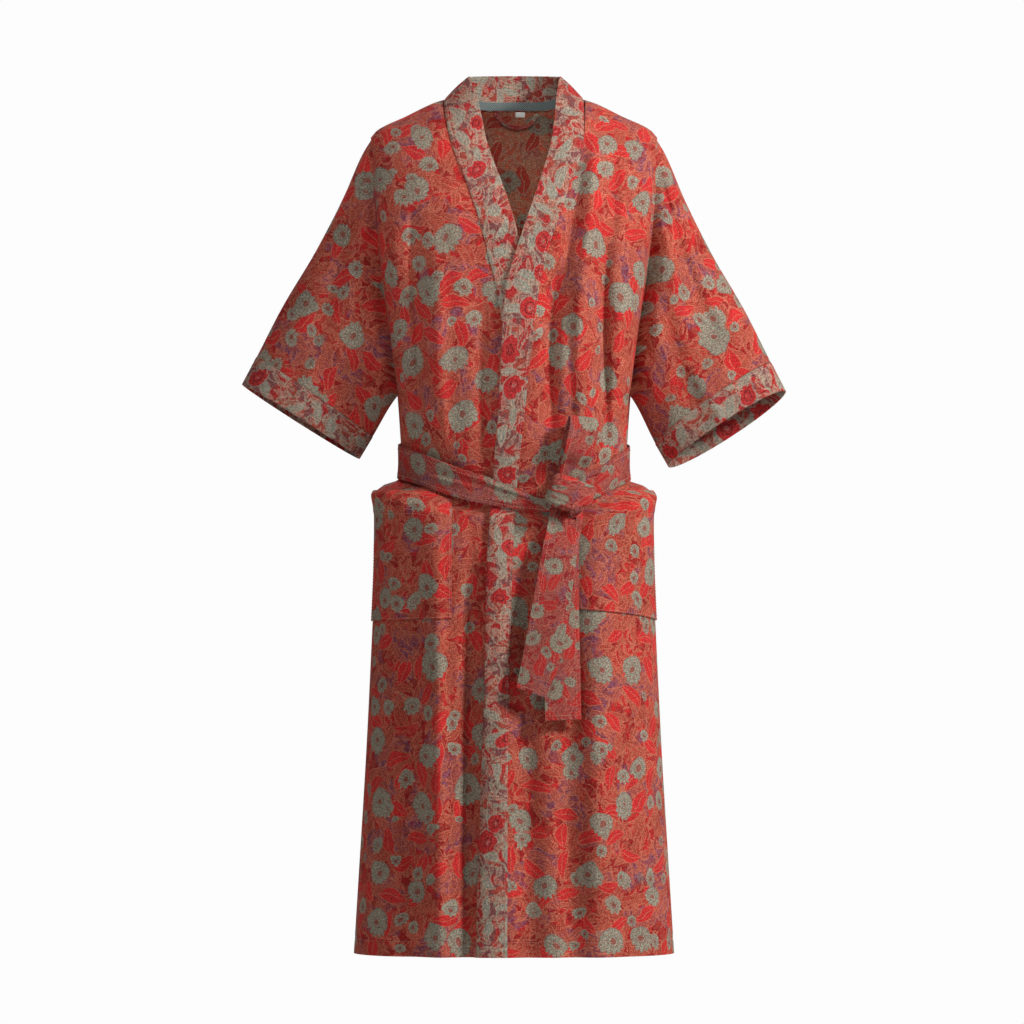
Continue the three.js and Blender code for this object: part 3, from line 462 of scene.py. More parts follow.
def sleeve_surface(side):
    """u from 0 at the underarm, over the front to 1 at the top and down the back to 2; t along the arm."""
    arm = ARMS[side]

    def parts(face, angle, t):
        sin, cos = np.sin(angle), np.cos(angle)
        top_x, under_x = between(SLEEVE, "t", "top_x", t), between(SLEEVE, "t", "under_x", t)
        top_z = between(SLEEVE, "t", "top_z", t) - arm["drop"] * t
        under_z = between(SLEEVE, "t", "under_z", t) - arm["fall"] * t
        x = (top_x + under_x) / 2 + (top_x - under_x) * sin / 2
        z = (top_z + under_z) / 2 + (top_z - under_z) * sin / 2 - face * arm["tilt"] * t * t * cos
        return np.stack(np.broadcast_arrays(x, face * between(SLEEVE, "t", "deep", t) * cos, z), axis=-1)

    def armhole(face, angle):
        sin, cos = np.sin(angle), np.cos(angle)
        z = CHEST + np.where(sin > 0, SHOULDER_TIP - CHEST, CHEST - UNDERARM) * sin
        # the sleeve's raw edge is tucked inside the armhole, so the seam lies in a small valley
        x = between(RINGS, "z", "half", z) - SEAM_TUCK
        return np.stack(np.broadcast_arrays(x, face * (ARMHOLE_HALF - 1) * cos, z), axis=-1)

    def crease(face, angle, t):
        depth = 0.0
        for table, bow in ((SLEEVE_FOLDS, 0.0), (SLEEVE_CREASES[side], 0.08)):
            for way, start, end, first, last, width, deep in table:
                along = (t - first) / (last - first)
                inside = (along > 0) & (along < 1) & (way == face)
                middle = mix(start, end, along) + bow * np.sin(np.pi * along) * np.sign(deep)
                off = (angle - middle) / (width * mix(0.8, 1.2, along))
                off = off * np.where(off > 0, 1.3, 0.85)
                depth = depth + np.where(inside, deep * np.exp(-off * off) * np.sin(np.pi * along), 0)
        ripple = np.sin(7 * t + 5 * angle + face) + 0.6 * np.sin(17 * t - 4 * angle + 2 * face)
        # the sleeve is drawn in along the armhole seam
        pinch = -0.7 * np.exp(-(((t - CUFF_AT) / 0.018) ** 2))
        # and falls in behind that seam
        valley = -SEAM_VALLEY * ramp(t / 0.04) * np.exp(-((t / 0.13) ** 2)) * np.cos(angle) ** 0.3
        return depth + 0.8 * ripple * np.sin(np.pi * np.clip(t, 0, 1)) + pinch + valley

    def surface(u, t):
        u, t = np.broadcast_arrays(np.asarray(u, float), np.asarray(t, float))
        step = np.mod(u, 2.0)
        front = step <= 1.0
        angle = (np.where(front, step, 2 - step) - 0.5) * np.pi
        point = np.zeros(u.shape + (3,))
        for face, mask in ((FRONT, front), (BACK, ~front)):
            here = parts(face, angle, t)
            fit = armhole(face, angle) - parts(face, angle, 0 * t)
            here = here + fit * (np.maximum(1 - t, 0) ** 3)[..., None]
            here[..., 1] += face * crease(face, angle, t) * np.cos(angle)
            point = np.where(mask[..., None], here, point)
        point[..., 0] *= SIDES[side]
        return point
    return surface


def on_left_front(x, z):
    angle, row = place_on_front(np.asarray(x, float), np.asarray(z, float))
    return body_on(FRONT, angle, row, 1, relief=0.0)


def off_left_front(x, z, stand):
    normal = out_of(on_left_front, x, z, 2, 2)
    normal = np.where(normal[..., 1:2] < 0, normal, -normal)
    return on_left_front(x, z) + normal * np.asarray(stand, float)[..., None]


def belt_surface(turn, v):
    """turn in degrees round the body, v from 0 at the lower edge to 1 at the upper one."""
    turn, v = np.broadcast_arrays(np.asarray(turn, float), np.asarray(v, float))
    half = between(BELT, "turn", "half", turn)
    drop = between(BELT, "turn", "drop", turn)
    row = flat_ring(BELT_SIDE + drop + half * (2 * v - 1))
    radians = np.radians(turn)
    front = np.cos(radians) > 0
    angle = np.arcsin(np.sin(radians))
    return np.where(front[..., None], body_on(FRONT, angle, row, 1), body_on(BACK, angle, row, 0))


def stood_off(surface, u, v, steps, stand, outward, lean=(1.0, 1.0, 1.0)):
    """Points at a distance from a surface, on the side that outward(points) gives."""
    normal = out_of(surface, u, v, *steps) * np.array(lean)
    base = surface(u, v)
    flip = np.sign(np.sum(normal * outward(base), axis=-1, keepdims=True))
    return base + normal * flip * stand[..., None]


# Writing meshes
def rows_of_body(lower=150, upper=60):
    heights = np.linspace(ROWS["z"][0], ROWS["z"][-1], lower + 1)
    return np.concatenate([np.interp(heights, ROWS["z"], ROWS["v"]),
                           np.linspace(LOWER, TOP, upper + 1)[1:]])


def grid_of(surface, u, v):
    """Points of a surface, one row for each v and one column for each u."""
    return surface(*np.meshgrid(np.asarray(u, float), np.asarray(v, float)))


def select_only(obj):
    bpy.ops.object.select_all(action="DESELECT")
    obj.select_set(True)
    bpy.context.view_layer.objects.active = obj


def finish_with(obj, kind, **settings):
    select_only(obj)
    modifier = obj.modifiers.new(kind.title(), kind)
    for name, value in settings.items():
        setattr(modifier, name, value)
    bpy.ops.object.modifier_apply(modifier=modifier.name)


def lay_flat(points, middle=0.5, lie="panel"):
    """Where each point lies on the flat cloth, in metres: along its row and up from the first row.

    A panel is measured up every column. A tube or strip is measured along its straight line.
    A band is measured along its seam, and its rows lean as they meet that seam.
    """
    steps = np.diff(points, axis=1)
    column = int(middle * (points.shape[1] - 1))
    spine = points[:, column]
    if lie == "tube":
        way = (spine[-1] - spine[0]) / np.linalg.norm(spine[-1] - spine[0])
        rise = (points - spine[0]) @ way
        across = np.sqrt(np.maximum(np.sum(steps * steps, axis=-1) - (steps @ way) ** 2, 0))
    else:
        up = np.linalg.norm(np.diff(points, axis=0), axis=-1)
        rise = np.concatenate([np.zeros((1, points.shape[1])), np.cumsum(up, axis=0)])
        across = np.linalg.norm(steps, axis=-1)
    run = np.concatenate([np.zeros((len(points), 1)), np.cumsum(across, axis=1)], axis=1)
    run = run - run[:, column:column + 1]
    if lie == "band":
        way = np.gradient(spine, axis=0)
        chord = points[:, -1] - spine
        lean = np.sum(chord * way, axis=-1) / np.linalg.norm(chord, axis=-1) / np.linalg.norm(way, axis=-1)
        lean = np.clip(lean, -0.9, 0.9)[:, None]
        rise = rise[:, column:column + 1] + run * lean
        run = run * np.sqrt(1 - lean**2)
        return rise * MM, run * MM
    return run * MM, rise * MM


def mesh_of(name, points, flat, tube=False):
    """A sheet of quads through a grid of points, with its flat lengths as the UV map."""
    rows, columns = points.shape[:2]
    kept = columns - 1 if tube else columns
    vertices = (points[:, :kept] * MM).reshape(-1, 3)
    r, c = np.meshgrid(np.arange(rows - 1), np.arange(columns - 1), indexing="ij")
    corners = [(r, c), (r, c + 1), (r + 1, c + 1), (r + 1, c)]
    faces = np.stack([a * kept + b % kept for a, b in corners], axis=-1).reshape(-1, 4)
    spots = np.stack([np.stack([flat[0][a, b], flat[1][a, b]], axis=-1) for a, b in corners], axis=-2)
    mesh = bpy.data.meshes.new(name)
    mesh.from_pydata(vertices.tolist(), [], faces.tolist())
    layer = mesh.uv_layers.new(name="cloth")
    layer.data.foreach_set("uv", spots.reshape(-1).astype(np.float32))
    mesh.update()
    obj = bpy.data.objects.new(name, mesh)
    bpy.context.scene.collection.objects.link(obj)
    return obj


def closed_mesh(name, vertices, faces, finish, spots=None):
    """A smooth closed piece, its faces turned outward; spots lays each vertex on the flat cloth."""
    mesh = bpy.data.meshes.new(name)
    mesh.from_pydata(vertices, [], faces)
    if spots is not None:
        layer = mesh.uv_layers.new(name="cloth")
        corner = np.empty(len(mesh.loops), int)
        mesh.loops.foreach_get("vertex_index", corner)
        layer.data.foreach_set("uv", spots[corner].reshape(-1).astype(np.float32))
    mesh.update()
    obj = bpy.data.objects.new(name, mesh)
    bpy.context.scene.collection.objects.link(obj)
    mesh.materials.append(finish)
    shape = bmesh.new()
    shape.from_mesh(mesh)
    bmesh.ops.recalc_face_normals(shape, faces=shape.faces[:])
    shape.to_mesh(mesh)
    shape.free()
    mesh.shade_smooth()
    return obj


def cloth(name, points, thick, outside, inside=None, tube=False, middle=0.5, shift=(0.0, 0.0),
          outward=None, soft_edge=0.0, lie="panel"):
    """A thin shell on a grid of points, its outer face turned the way that outward(points) gives."""
    normals = np.cross(points[1:, :-1] - points[:-1, :-1], points[:-1, 1:] - points[:-1, :-1])
    if np.sum(normals * outward(points[:-1, :-1])) > 0:
        points = points[:, ::-1]
        middle = 1 - middle
    run, rise = lay_flat(points, middle, lie)
    obj = mesh_of(name, points, (run + shift[0], rise + shift[1]), tube)
    obj.data.materials.append(outside)
    obj.data.materials.append(inside or outside)
    finish_with(obj, "SOLIDIFY", thickness=thick * MM, offset=0, use_quality_normals=True,
                material_offset=1, material_offset_rim=0)
    if soft_edge:
        finish_with(obj, "BEVEL", width=soft_edge * MM, segments=2, limit_method="ANGLE",
                    angle_limit=math.radians(50))
    select_only(obj)
    bpy.ops.object.shade_smooth_by_angle(angle=math.radians(45))
    return obj


def from_axis(points):
    """Away from the body's upright axis."""
    return points * np.array([1.0, 1.0, 0.0])


def to_front(points):
    return points * 0 + np.array([0.0, -1.0, 0.0])


def keep(obj, slot, *nodes):
    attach(obj, "root")
    if nodes:
        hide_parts(*nodes)
    return obj


# Camera, light and floor
PHOTO_WIDTH = 1.3926  # metres across the photo at the robe's middle
CAMERA_AWAY = 12.0
CAMERA_LENS = 36.0 * CAMERA_AWAY / PHOTO_WIDTH
FLOOR_Z = -1.62

camera = bpy.data.cameras.new("camera")
camera.lens = CAMERA_LENS
camera.sensor_width = 36.0
camera.clip_end = 60.0
camera_object = bpy.data.objects.new("camera", camera)
camera_object.location = (-0.0027, -CAMERA_AWAY, -0.5467)
camera_object.rotation_euler = (math.radians(90), 0, 0)
bpy.context.scene.collection.objects.link(camera_object)
bpy.context.scene.camera = camera_object
bpy.context.scene.view_settings.view_transform = "Standard"

# A row for each light: name, place, target, size, spread in degrees, watts
LIGHTS = [
    ("key_light", (3.4, -1.9, 1.9), (0.0, 0.0, -0.5), 0.8, 160, 176.0),
    ("top_light", (-2.0, -2.2, 2.6), (0.0, 0.0, -0.4), 1.4, 160, 32.0),
    ("front_light", (0.0, -4.0, 0.15), (0.0, 0.0, -0.1), 0.6, 16, 0.45),
    ("back_light", (-0.6, 3.4, 1.8), (0.0, 0.0, -0.5), 2.2, 160, 46.0),
]
for name, place, target, size, spread, watts in LIGHTS:
    light = bpy.data.lights.new(name, "AREA")
    light.size = size
    light.spread = math.radians(spread)
    light.energy = watts
    light_object = bpy.data.objects.new(name, light)
    light_object.location = place
    towards = np.array(target) - np.array(place)
    flat_way = math.hypot(towards[0], towards[1])
    light_object.rotation_euler = (math.atan2(flat_way, -towards[2]), 0,
                                   math.atan2(towards[1], towards[0]) - math.pi / 2)
    bpy.context.scene.collection.objects.link(light_object)

world = bpy.data.worlds.new("studio")
world.use_nodes = True
# the paper backdrop is white to the eye, and gives the robe less light than that
backdrop = world.node_tree.nodes["Background"]
backdrop.inputs[0].default_value = (1.0, 1.0, 1.0, 1.0)
seen = world.node_tree.nodes.new("ShaderNodeLightPath")
brightness = world.node_tree.nodes.new("ShaderNodeMapRange")
brightness.inputs[3].default_value = 0.07
brightness.inputs[4].default_value = 0.98
world.node_tree.links.new(seen.outputs["Is Camera Ray"], brightness.inputs[0])
world.node_tree.links.new(brightness.outputs[0], backdrop.inputs[1])
bpy.context.scene.world = world

bpy.ops.object.select_all(action="DESELECT")
bpy.ops.mesh.primitive_circle_add(vertices=96, radius=2.6, fill_type="NGON", location=(0, 0, FLOOR_Z))
floor = bpy.context.object
floor.name = "floor"


# Materials
def linear(code):
    """An sRGB hex colour as linear red, green, blue and alpha."""
    parts = [int(code[i:i + 2], 16) / 255 for i in (1, 3, 5)]
    return tuple(p / 12.92 if p <= 0.04045 else ((p + 0.055) / 1.055) ** 2.4 for p in parts) + (1.0,)


def add(tree, kind, *inputs, **settings):
    """Add a node with its settings; inputs are links or values, in the order of its sockets."""
    node = tree.nodes.new("ShaderNode" + kind)
    for name, value in settings.items():
        setattr(node, name, value)
    for place, value in enumerate(inputs):
        if value is None:
            continue
        if isinstance(value, bpy.types.Node):
            value = value.outputs[0]
        if isinstance(value, bpy.types.NodeSocket):
            tree.links.new(value, node.inputs[place])
        else:
            node.inputs[place].default_value = value
    return node


def new_finish(name):
    material = bpy.data.materials.new(name)
    material.use_nodes = True
    return material, material.node_tree


def ink(tree, below, colour, mask, strength=1.0):
    """One printed colour laid over what is below, where the mask is 1."""
    if strength < 1.0:
        mask = add(tree, "Math", mask, strength, operation="MULTIPLY")
    if isinstance(colour, str):
        colour = linear(colour)
    return add(tree, "Mix", mask, None, None, None, None, None, below, colour, data_type="RGBA").outputs[2]


def inked(tree, value, low, high):
    """0 below low and 1 above high, with the soft edge of ink on brushed cotton."""
    return add(tree, "MapRange", value, low, high, 0.0, 1.0, interpolation_type="SMOOTHSTEP")


def flat_cloth(tree, size=1.0, offset=(0.0, 0.0)):
    """Millimetres over the cloth from its UV map, roughened by the nap so that printed edges fray."""
    spot = add(tree, "UVMap", uv_map="cloth")
    plain = add(tree, "Mapping", spot, (offset[0], offset[1], 0.0), None, (1000.0 / size,) * 3)
    fray = add(tree, "TexNoise", plain, None, 0.9, 2.0, 0.6, noise_dimensions="2D")
    centred = add(tree, "VectorMath", fray.outputs[1], (0.5, 0.5, 0.5), operation="SUBTRACT")
    moved = add(tree, "VectorMath", centred, None, None, 2.2, operation="SCALE")
    tree.links.new(centred.outputs[0], moved.inputs[0])
    sway = add(tree, "TexNoise", plain, None, 0.03, 1.0, 0.5, noise_dimensions="2D")
    swayed = add(tree, "VectorMath", sway.outputs[1], (0.5, 0.5, 0.5), operation="SUBTRACT")
    swaying = add(tree, "VectorMath", swayed, None, None, 14.0, operation="SCALE")
    frayed = add(tree, "VectorMath", plain, moved, operation="ADD")
    return plain.outputs[0], add(tree, "VectorMath", frayed, swaying, operation="ADD").outputs[0]


def scattered(tree, where, spacing, offset, randomness=0.8):
    """One motif to a cell: the way from the motif's middle, and its own random numbers."""
    moved = add(tree, "VectorMath", where, (offset, 1.7 * offset, 0.0), operation="ADD")
    cell = add(tree, "TexVoronoi", moved, None, 1.0 / spacing, None, None, None, None, None, randomness,
               voronoi_dimensions="2D")
    away = add(tree, "VectorMath", moved, cell.outputs["Position"], operation="SUBTRACT")
    own = add(tree, "SeparateXYZ", cell.outputs["Color"])
    return away, own


VEIN_APART = 3.4  # mm from one vein of a leaf to the next


def leaves(tree, where, spacing, long, wide, offset):
    """Pointed leaves, each turned its own way: depth inside the edge, way from the midrib, vein waves."""
    away, own = scattered(tree, where, spacing, offset)
    turn = add(tree, "Math", own.outputs[0], 2 * math.pi, operation="MULTIPLY")
    turned = add(tree, "VectorRotate", away, None, None, turn, rotation_type="Z_AXIS")
    parts = add(tree, "SeparateXYZ", turned)
    share = add(tree, "Math", parts.outputs[0], long, operation="DIVIDE")
    square = add(tree, "Math", share, share, operation="MULTIPLY")
    bow = add(tree, "Math", square, 0.45 * wide, operation="MULTIPLY")
    rib = add(tree, "Math", parts.outputs[1], bow, operation="SUBTRACT")
    across = add(tree, "Math", rib, operation="ABSOLUTE")
    half = add(tree, "Math", square, -wide, wide, operation="MULTIPLY_ADD")
    inside = add(tree, "Math", half, across, operation="SUBTRACT")
    slant = add(tree, "Math", across, 1.1, parts.outputs[0], operation="MULTIPLY_ADD")
    phase = add(tree, "Math", slant, 2 * math.pi / VEIN_APART, operation="MULTIPLY")
    vein = add(tree, "Math", phase, operation="SINE")
    return inside, across, vein, own


def outline_of(tree, inside, thick):
    distance = add(tree, "Math", inside, operation="ABSOLUTE")
    line = inked(tree, distance, thick * 0.55, thick * 1.15)
    return add(tree, "Math", 1.0, line, operation="SUBTRACT")


def blooms(tree, where, spacing, radius, petals, scallop, offset, randomness=0.7):
    """Round flowers with scalloped edges: depth inside the edge, distance from the middle, petal waves."""
    away, own = scattered(tree, where, spacing, offset, randomness)
    parts = add(tree, "SeparateXYZ", away)
    turn = add(tree, "Math", parts.outputs[1], parts.outputs[0], operation="ARCTAN2")
    spun = add(tree, "Math", own.outputs[0], 6.0, turn, operation="MULTIPLY_ADD")
    wave = add(tree, "Math", add(tree, "Math", spun, petals / 2, operation="MULTIPLY"), operation="COSINE")
    lobe = add(tree, "Math", wave, operation="ABSOLUTE")
    # the upper edge is nearly round, the lower one scalloped
    low = inked(tree, parts.outputs[1], 0.3 * radius, -0.5 * radius)
    between_lobes = add(tree, "Math", lobe, -1.0, 1.0, operation="MULTIPLY_ADD")
    cut = add(tree, "Math", between_lobes, low, operation="MULTIPLY")
    reach = add(tree, "Math", cut, -2.2 * scallop * radius, radius, operation="MULTIPLY_ADD")
    size = add(tree, "Math", own.outputs[1], 0.35, 0.72, operation="MULTIPLY_ADD")
    edge = add(tree, "Math", reach, size, operation="MULTIPLY")
    far = add(tree, "VectorMath", away, operation="LENGTH").outputs["Value"]
    inside = add(tree, "Math", edge, far, operation="SUBTRACT")
    return inside, far, lobe, own


def stems(tree, where, spacing, thick, offset):
    """Thin curling stems along the borders of large swaying cells."""
    moved = add(tree, "VectorMath", where, (offset, offset, 0.0), operation="ADD")
    curl = add(tree, "TexNoise", moved, None, 0.045, 2.0, 0.5, noise_dimensions="2D")
    centred = add(tree, "VectorMath", curl.outputs[1], (0.5, 0.5, 0.5), operation="SUBTRACT")
    swung = add(tree, "VectorMath", centred, (34.0, 34.0, 0.0), operation="MULTIPLY")
    place = add(tree, "VectorMath", moved, swung, operation="ADD")
    net = add(tree, "TexVoronoi", place, None, 1.0 / spacing, None, None, None, None, None, 1.0,
              voronoi_dimensions="2D", feature="DISTANCE_TO_EDGE")
    line = inked(tree, net, thick * 0.5 / spacing, thick * 1.2 / spacing)
    return add(tree, "Math", 1.0, line, operation="SUBTRACT")


# Inks of each cloth. The design is a plain one of leaves and round flowers, laid out by chance.
PALETTES = {
    "robe": {"ground": "#961C1E", "bright": "#C02426", "line": "#C06A54", "soft_line": "#A2483A",
             "fill": "#A63A2C", "sage": "#98A490", "sage_dark": "#62736A", "heart": "#8E443C",
             "mauve": "#664054", "mauve_line": "#885A6C", "leaf": "#CC262A", "mauve_from": 0.52},
    "belt": {"ground": "#8E2328", "bright": "#AC2A2C", "line": "#AE6052", "soft_line": "#904C48",
             "fill": "#8C3634", "sage": "#949E88", "sage_dark": "#5E6E64", "heart": "#86423E",
             "mauve": "#6A4250", "mauve_line": "#8A6270", "leaf": "#B82A2A", "mauve_from": 0.52},
    # the wrong side is paler than the face, and these inks are brightened further as painted light, standing
    # in for the light that hardly reaches the inside of the robe
    "inside": {"ground": "#DC6A50", "bright": "#E47354", "line": "#CC9C80", "soft_line": "#C27460",
               "fill": "#CC7456", "sage": "#A4AF98", "sage_dark": "#7E8A76", "heart": "#9E3A34",
               "mauve": "#9C5456", "mauve_line": "#B07064", "leaf": "#C43E34", "mauve_from": 0.6},
}


def brushed_cotton(tree, colour, plain, sheen):
    """Heathered yarns and nap over the printed colour, with the weave as low relief."""
    grain = add(tree, "TexNoise", plain, None, 0.5, 3.0, 0.65, noise_dimensions="2D")
    slubs = add(tree, "Mapping", plain, None, (0.0, 0.0, 0.5), (0.28, 1.0, 1.0))
    yarn = add(tree, "TexNoise", slubs, None, 0.7, 2.0, 0.6, noise_dimensions="2D")
    both = add(tree, "Math", grain, yarn, operation="ADD")
    light = add(tree, "MapRange", both, 0.72, 1.28, 0.58, 1.42)
    cloudy = add(tree, "TexNoise", plain, None, 0.018, 2.0, 0.5, noise_dimensions="2D")
    worn = add(tree, "MapRange", cloudy, 0.3, 0.7, 0.9, 1.08)
    value = add(tree, "Math", light, worn, operation="MULTIPLY")
    shaded = add(tree, "HueSaturation", None, None, value, None, colour)
    # pale and dark flecks, drawn 2 mm wide, about three yarns, so that they show
    fleck = add(tree, "TexNoise", plain, None, 0.55, 2.0, 0.7, noise_dimensions="2D")
    pale = inked(tree, fleck, 0.56, 0.7)
    heather = ink(tree, shaded.outputs[0], "#C27C62", pale, 0.34)
    dark = inked(tree, fleck, 0.46, 0.34)
    heather = ink(tree, heather, "#4A1716", dark, 0.5)
    # the weave is drawn at 1.5 mm, coarser than the real 0.5 mm yarns, so that it shows
    warp = add(tree, "TexWave", plain, 0.66 / 3.2, 1.2, 2.0, 1.0, wave_type="BANDS", bands_direction="X")
    weft = add(tree, "TexWave", plain, 0.66 / 3.2, 1.2, 2.0, 1.0, wave_type="BANDS", bands_direction="Y")
    weave = add(tree, "Math", warp.outputs[1], weft.outputs[1], operation="MULTIPLY")
    nap = add(tree, "Math", grain, 1.6, weave, operation="MULTIPLY_ADD")
    bump = add(tree, "Bump", 0.55, 0.0006, None, nap)
    tree.links.new(nap.outputs[0], bump.inputs["Height"])
    shader = tree.nodes["Principled BSDF"]
    tree.links.new(heather, shader.inputs["Base Color"])
    tree.links.new(bump.outputs[0], shader.inputs["Normal"])
    shader.inputs["Roughness"].default_value = 0.92
    shader.inputs["Specular IOR Level"].default_value = 0.14
    shader.inputs["Sheen Weight"].default_value = sheen
    shader.inputs["Sheen Roughness"].default_value = 0.55
    shader.inputs["Sheen Tint"].default_value = linear("#D88874")


# Kinds of leaf, in mm: spacing, length, width, shift, line, fill, cover of the fill, share left out
STROKES = [
    (13.0, 8.0, 2.4, 57.0, "soft_line", None, 0.0, 0.0),
    (11.0, 6.6, 1.8, 19.0, "line", None, 0.0, 0.35),
]
SPRAYS = [
    (27.0, 16.0, 5.4, 3.0, "line", "fill", 0.5, 0.2),
    (40.0, 24.0, 8.5, 83.0, "line", "fill", 0.5, 0.15),
    (38.0, 21.0, 9.0, 31.0, "line", "leaf", 0.9, 0.42),
]


def printed_leaves(tree, where, colour, palette, kinds):
    """Leaves of each kind over the colour: a thin fill, then the edge, the midrib and the veins."""
    for spacing, long, wide, shift, tone, fill, cover, left_out in kinds:
        inside, across, vein, own = leaves(tree, where, spacing, long, wide, shift)
        here = inked(tree, own.outputs[1], left_out - 0.01, left_out)
        within = add(tree, "Math", inked(tree, inside, 0.0, 0.5), here, operation="MULTIPLY")
        if fill:
            colour = ink(tree, colour, palette[fill], within, cover)
        rib = add(tree, "Math", inked(tree, across, 0.75, 0.3), within, operation="MULTIPLY")
        edge = add(tree, "Math", outline_of(tree, inside, 0.8), here, operation="MULTIPLY")
        drawn = add(tree, "Math", edge, rib, operation="MAXIMUM")
        if fill != "leaf":
            veins = add(tree, "Math", inked(tree, vein, 0.45, 0.85), within, operation="MULTIPLY")
            veins = add(tree, "Math", veins, 0.8, operation="MULTIPLY")
            drawn = add(tree, "Math", drawn, veins, operation="MAXIMUM")
        colour = ink(tree, colour, palette[tone], drawn, 0.85)
    return colour


def leafy_print(name, palette, size=1.0, offset=(0.0, 0.0), sheen=0.07):
    """Brushed cotton flannel, reactive printed: a red ground close with leaf sprays and sage flowers."""
    material, tree = new_finish(name)
    plain, where = flat_cloth(tree, size, offset)
    patch = add(tree, "TexNoise", where, None, 0.045, 2.0, 0.55, noise_dimensions="2D")
    colour = ink(tree, linear(palette["ground"]), palette["bright"], inked(tree, patch, 0.42, 0.6))
    # patches where the sprays are mauve
    region = add(tree, "TexNoise", where, None, 0.02, 1.5, 0.5, noise_dimensions="2D")
    mauve = inked(tree, region, palette["mauve_from"], palette["mauve_from"] + 0.05)
    dots = add(tree, "TexVoronoi", where, None, 1.0 / 4.2, None, None, None, None, None, 1.0,
               voronoi_dimensions="2D")
    dotted = add(tree, "Math", mauve, inked(tree, dots, 0.5, 0.36), operation="MULTIPLY")
    colour = ink(tree, colour, palette["mauve"], mauve, 0.62)
    colour = ink(tree, colour, palette["mauve_line"], dotted, 0.7)
    # a ground of short strokes, then stems, sprays of veined leaves and a few solid red ones
    colour = printed_leaves(tree, where, colour, palette, STROKES)
    colour = ink(tree, colour, palette["line"], stems(tree, where, 38.0, 1.3, 5.0), 0.9)
    colour = printed_leaves(tree, where, colour, palette, SPRAYS)
    # small round blooms, some open as rings
    flowers = None
    for spacing, radius, shift, least in ((44.0, 12.5, 13.0, 0.6), (32.0, 8.5, 71.0, 0.8)):
        inside, far, lobe, own = blooms(tree, where, spacing, radius, 9.0, 0.16, shift)
        here = inked(tree, own.outputs[2], least, least + 0.01)
        body = add(tree, "Math", inked(tree, inside, -0.3, 0.6), here, operation="MULTIPLY")
        colour = ink(tree, colour, palette["sage"], body, 0.95)
        flowers = add(tree, "Math", flowers, body, operation="MAXIMUM") if flowers else body
        past_ring = add(tree, "Math", far, radius * 0.46, operation="SUBTRACT")
        ring_line = add(tree, "Math", outline_of(tree, past_ring, 1.0), body, operation="MULTIPLY")
        colour = ink(tree, colour, palette["sage_dark"], ring_line, 0.55)
        heart = add(tree, "Math", inked(tree, far, radius * 0.36, radius * 0.24), body, operation="MULTIPLY")
        colour = ink(tree, colour, palette["heart"], heart, 0.9)
    # large flowers with shaded petals
    inside, far, lobe, own = blooms(tree, where, 86.0, 20.5, 12.0, 0.1, 41.0, 0.72)
    body = inked(tree, inside, -0.3, 0.7)
    colour = ink(tree, colour, palette["sage"], body, 0.97)
    outer = inked(tree, far, 7.0, 11.0)
    furrow = add(tree, "Math", inked(tree, lobe, 0.34, 0.08), outer, operation="MULTIPLY")
    furrow = add(tree, "Math", furrow, body, operation="MULTIPLY")
    colour = ink(tree, colour, palette["sage_dark"], furrow, 0.7)
    rim = add(tree, "Math", inked(tree, inside, 3.4, 1.0), body, operation="MULTIPLY")
    colour = ink(tree, colour, palette["sage_dark"], rim, 0.42)
    past_cup = add(tree, "Math", far, 7.4, operation="SUBTRACT")
    cup = add(tree, "Math", outline_of(tree, past_cup, 1.2), body, operation="MULTIPLY")
    colour = ink(tree, colour, palette["sage_dark"], cup, 0.5)
    heart = add(tree, "Math", inked(tree, far, 5.4, 3.6), body, operation="MULTIPLY")
    colour = ink(tree, colour, palette["heart"], heart, 0.85)
    # the pale ink lies thin on the nap, so that the red shows through in specks
    speck = add(tree, "TexNoise", plain, None, 0.46, 2.0, 0.7, noise_dimensions="2D")
    flowers = add(tree, "Math", flowers, body, operation="MAXIMUM")
    thin = add(tree, "Math", inked(tree, speck, 0.43, 0.58), flowers, operation="MULTIPLY")
    colour = ink(tree, colour, palette["heart"], thin, 0.62)
    brushed_cotton(tree, colour, plain, sheen)
    return material


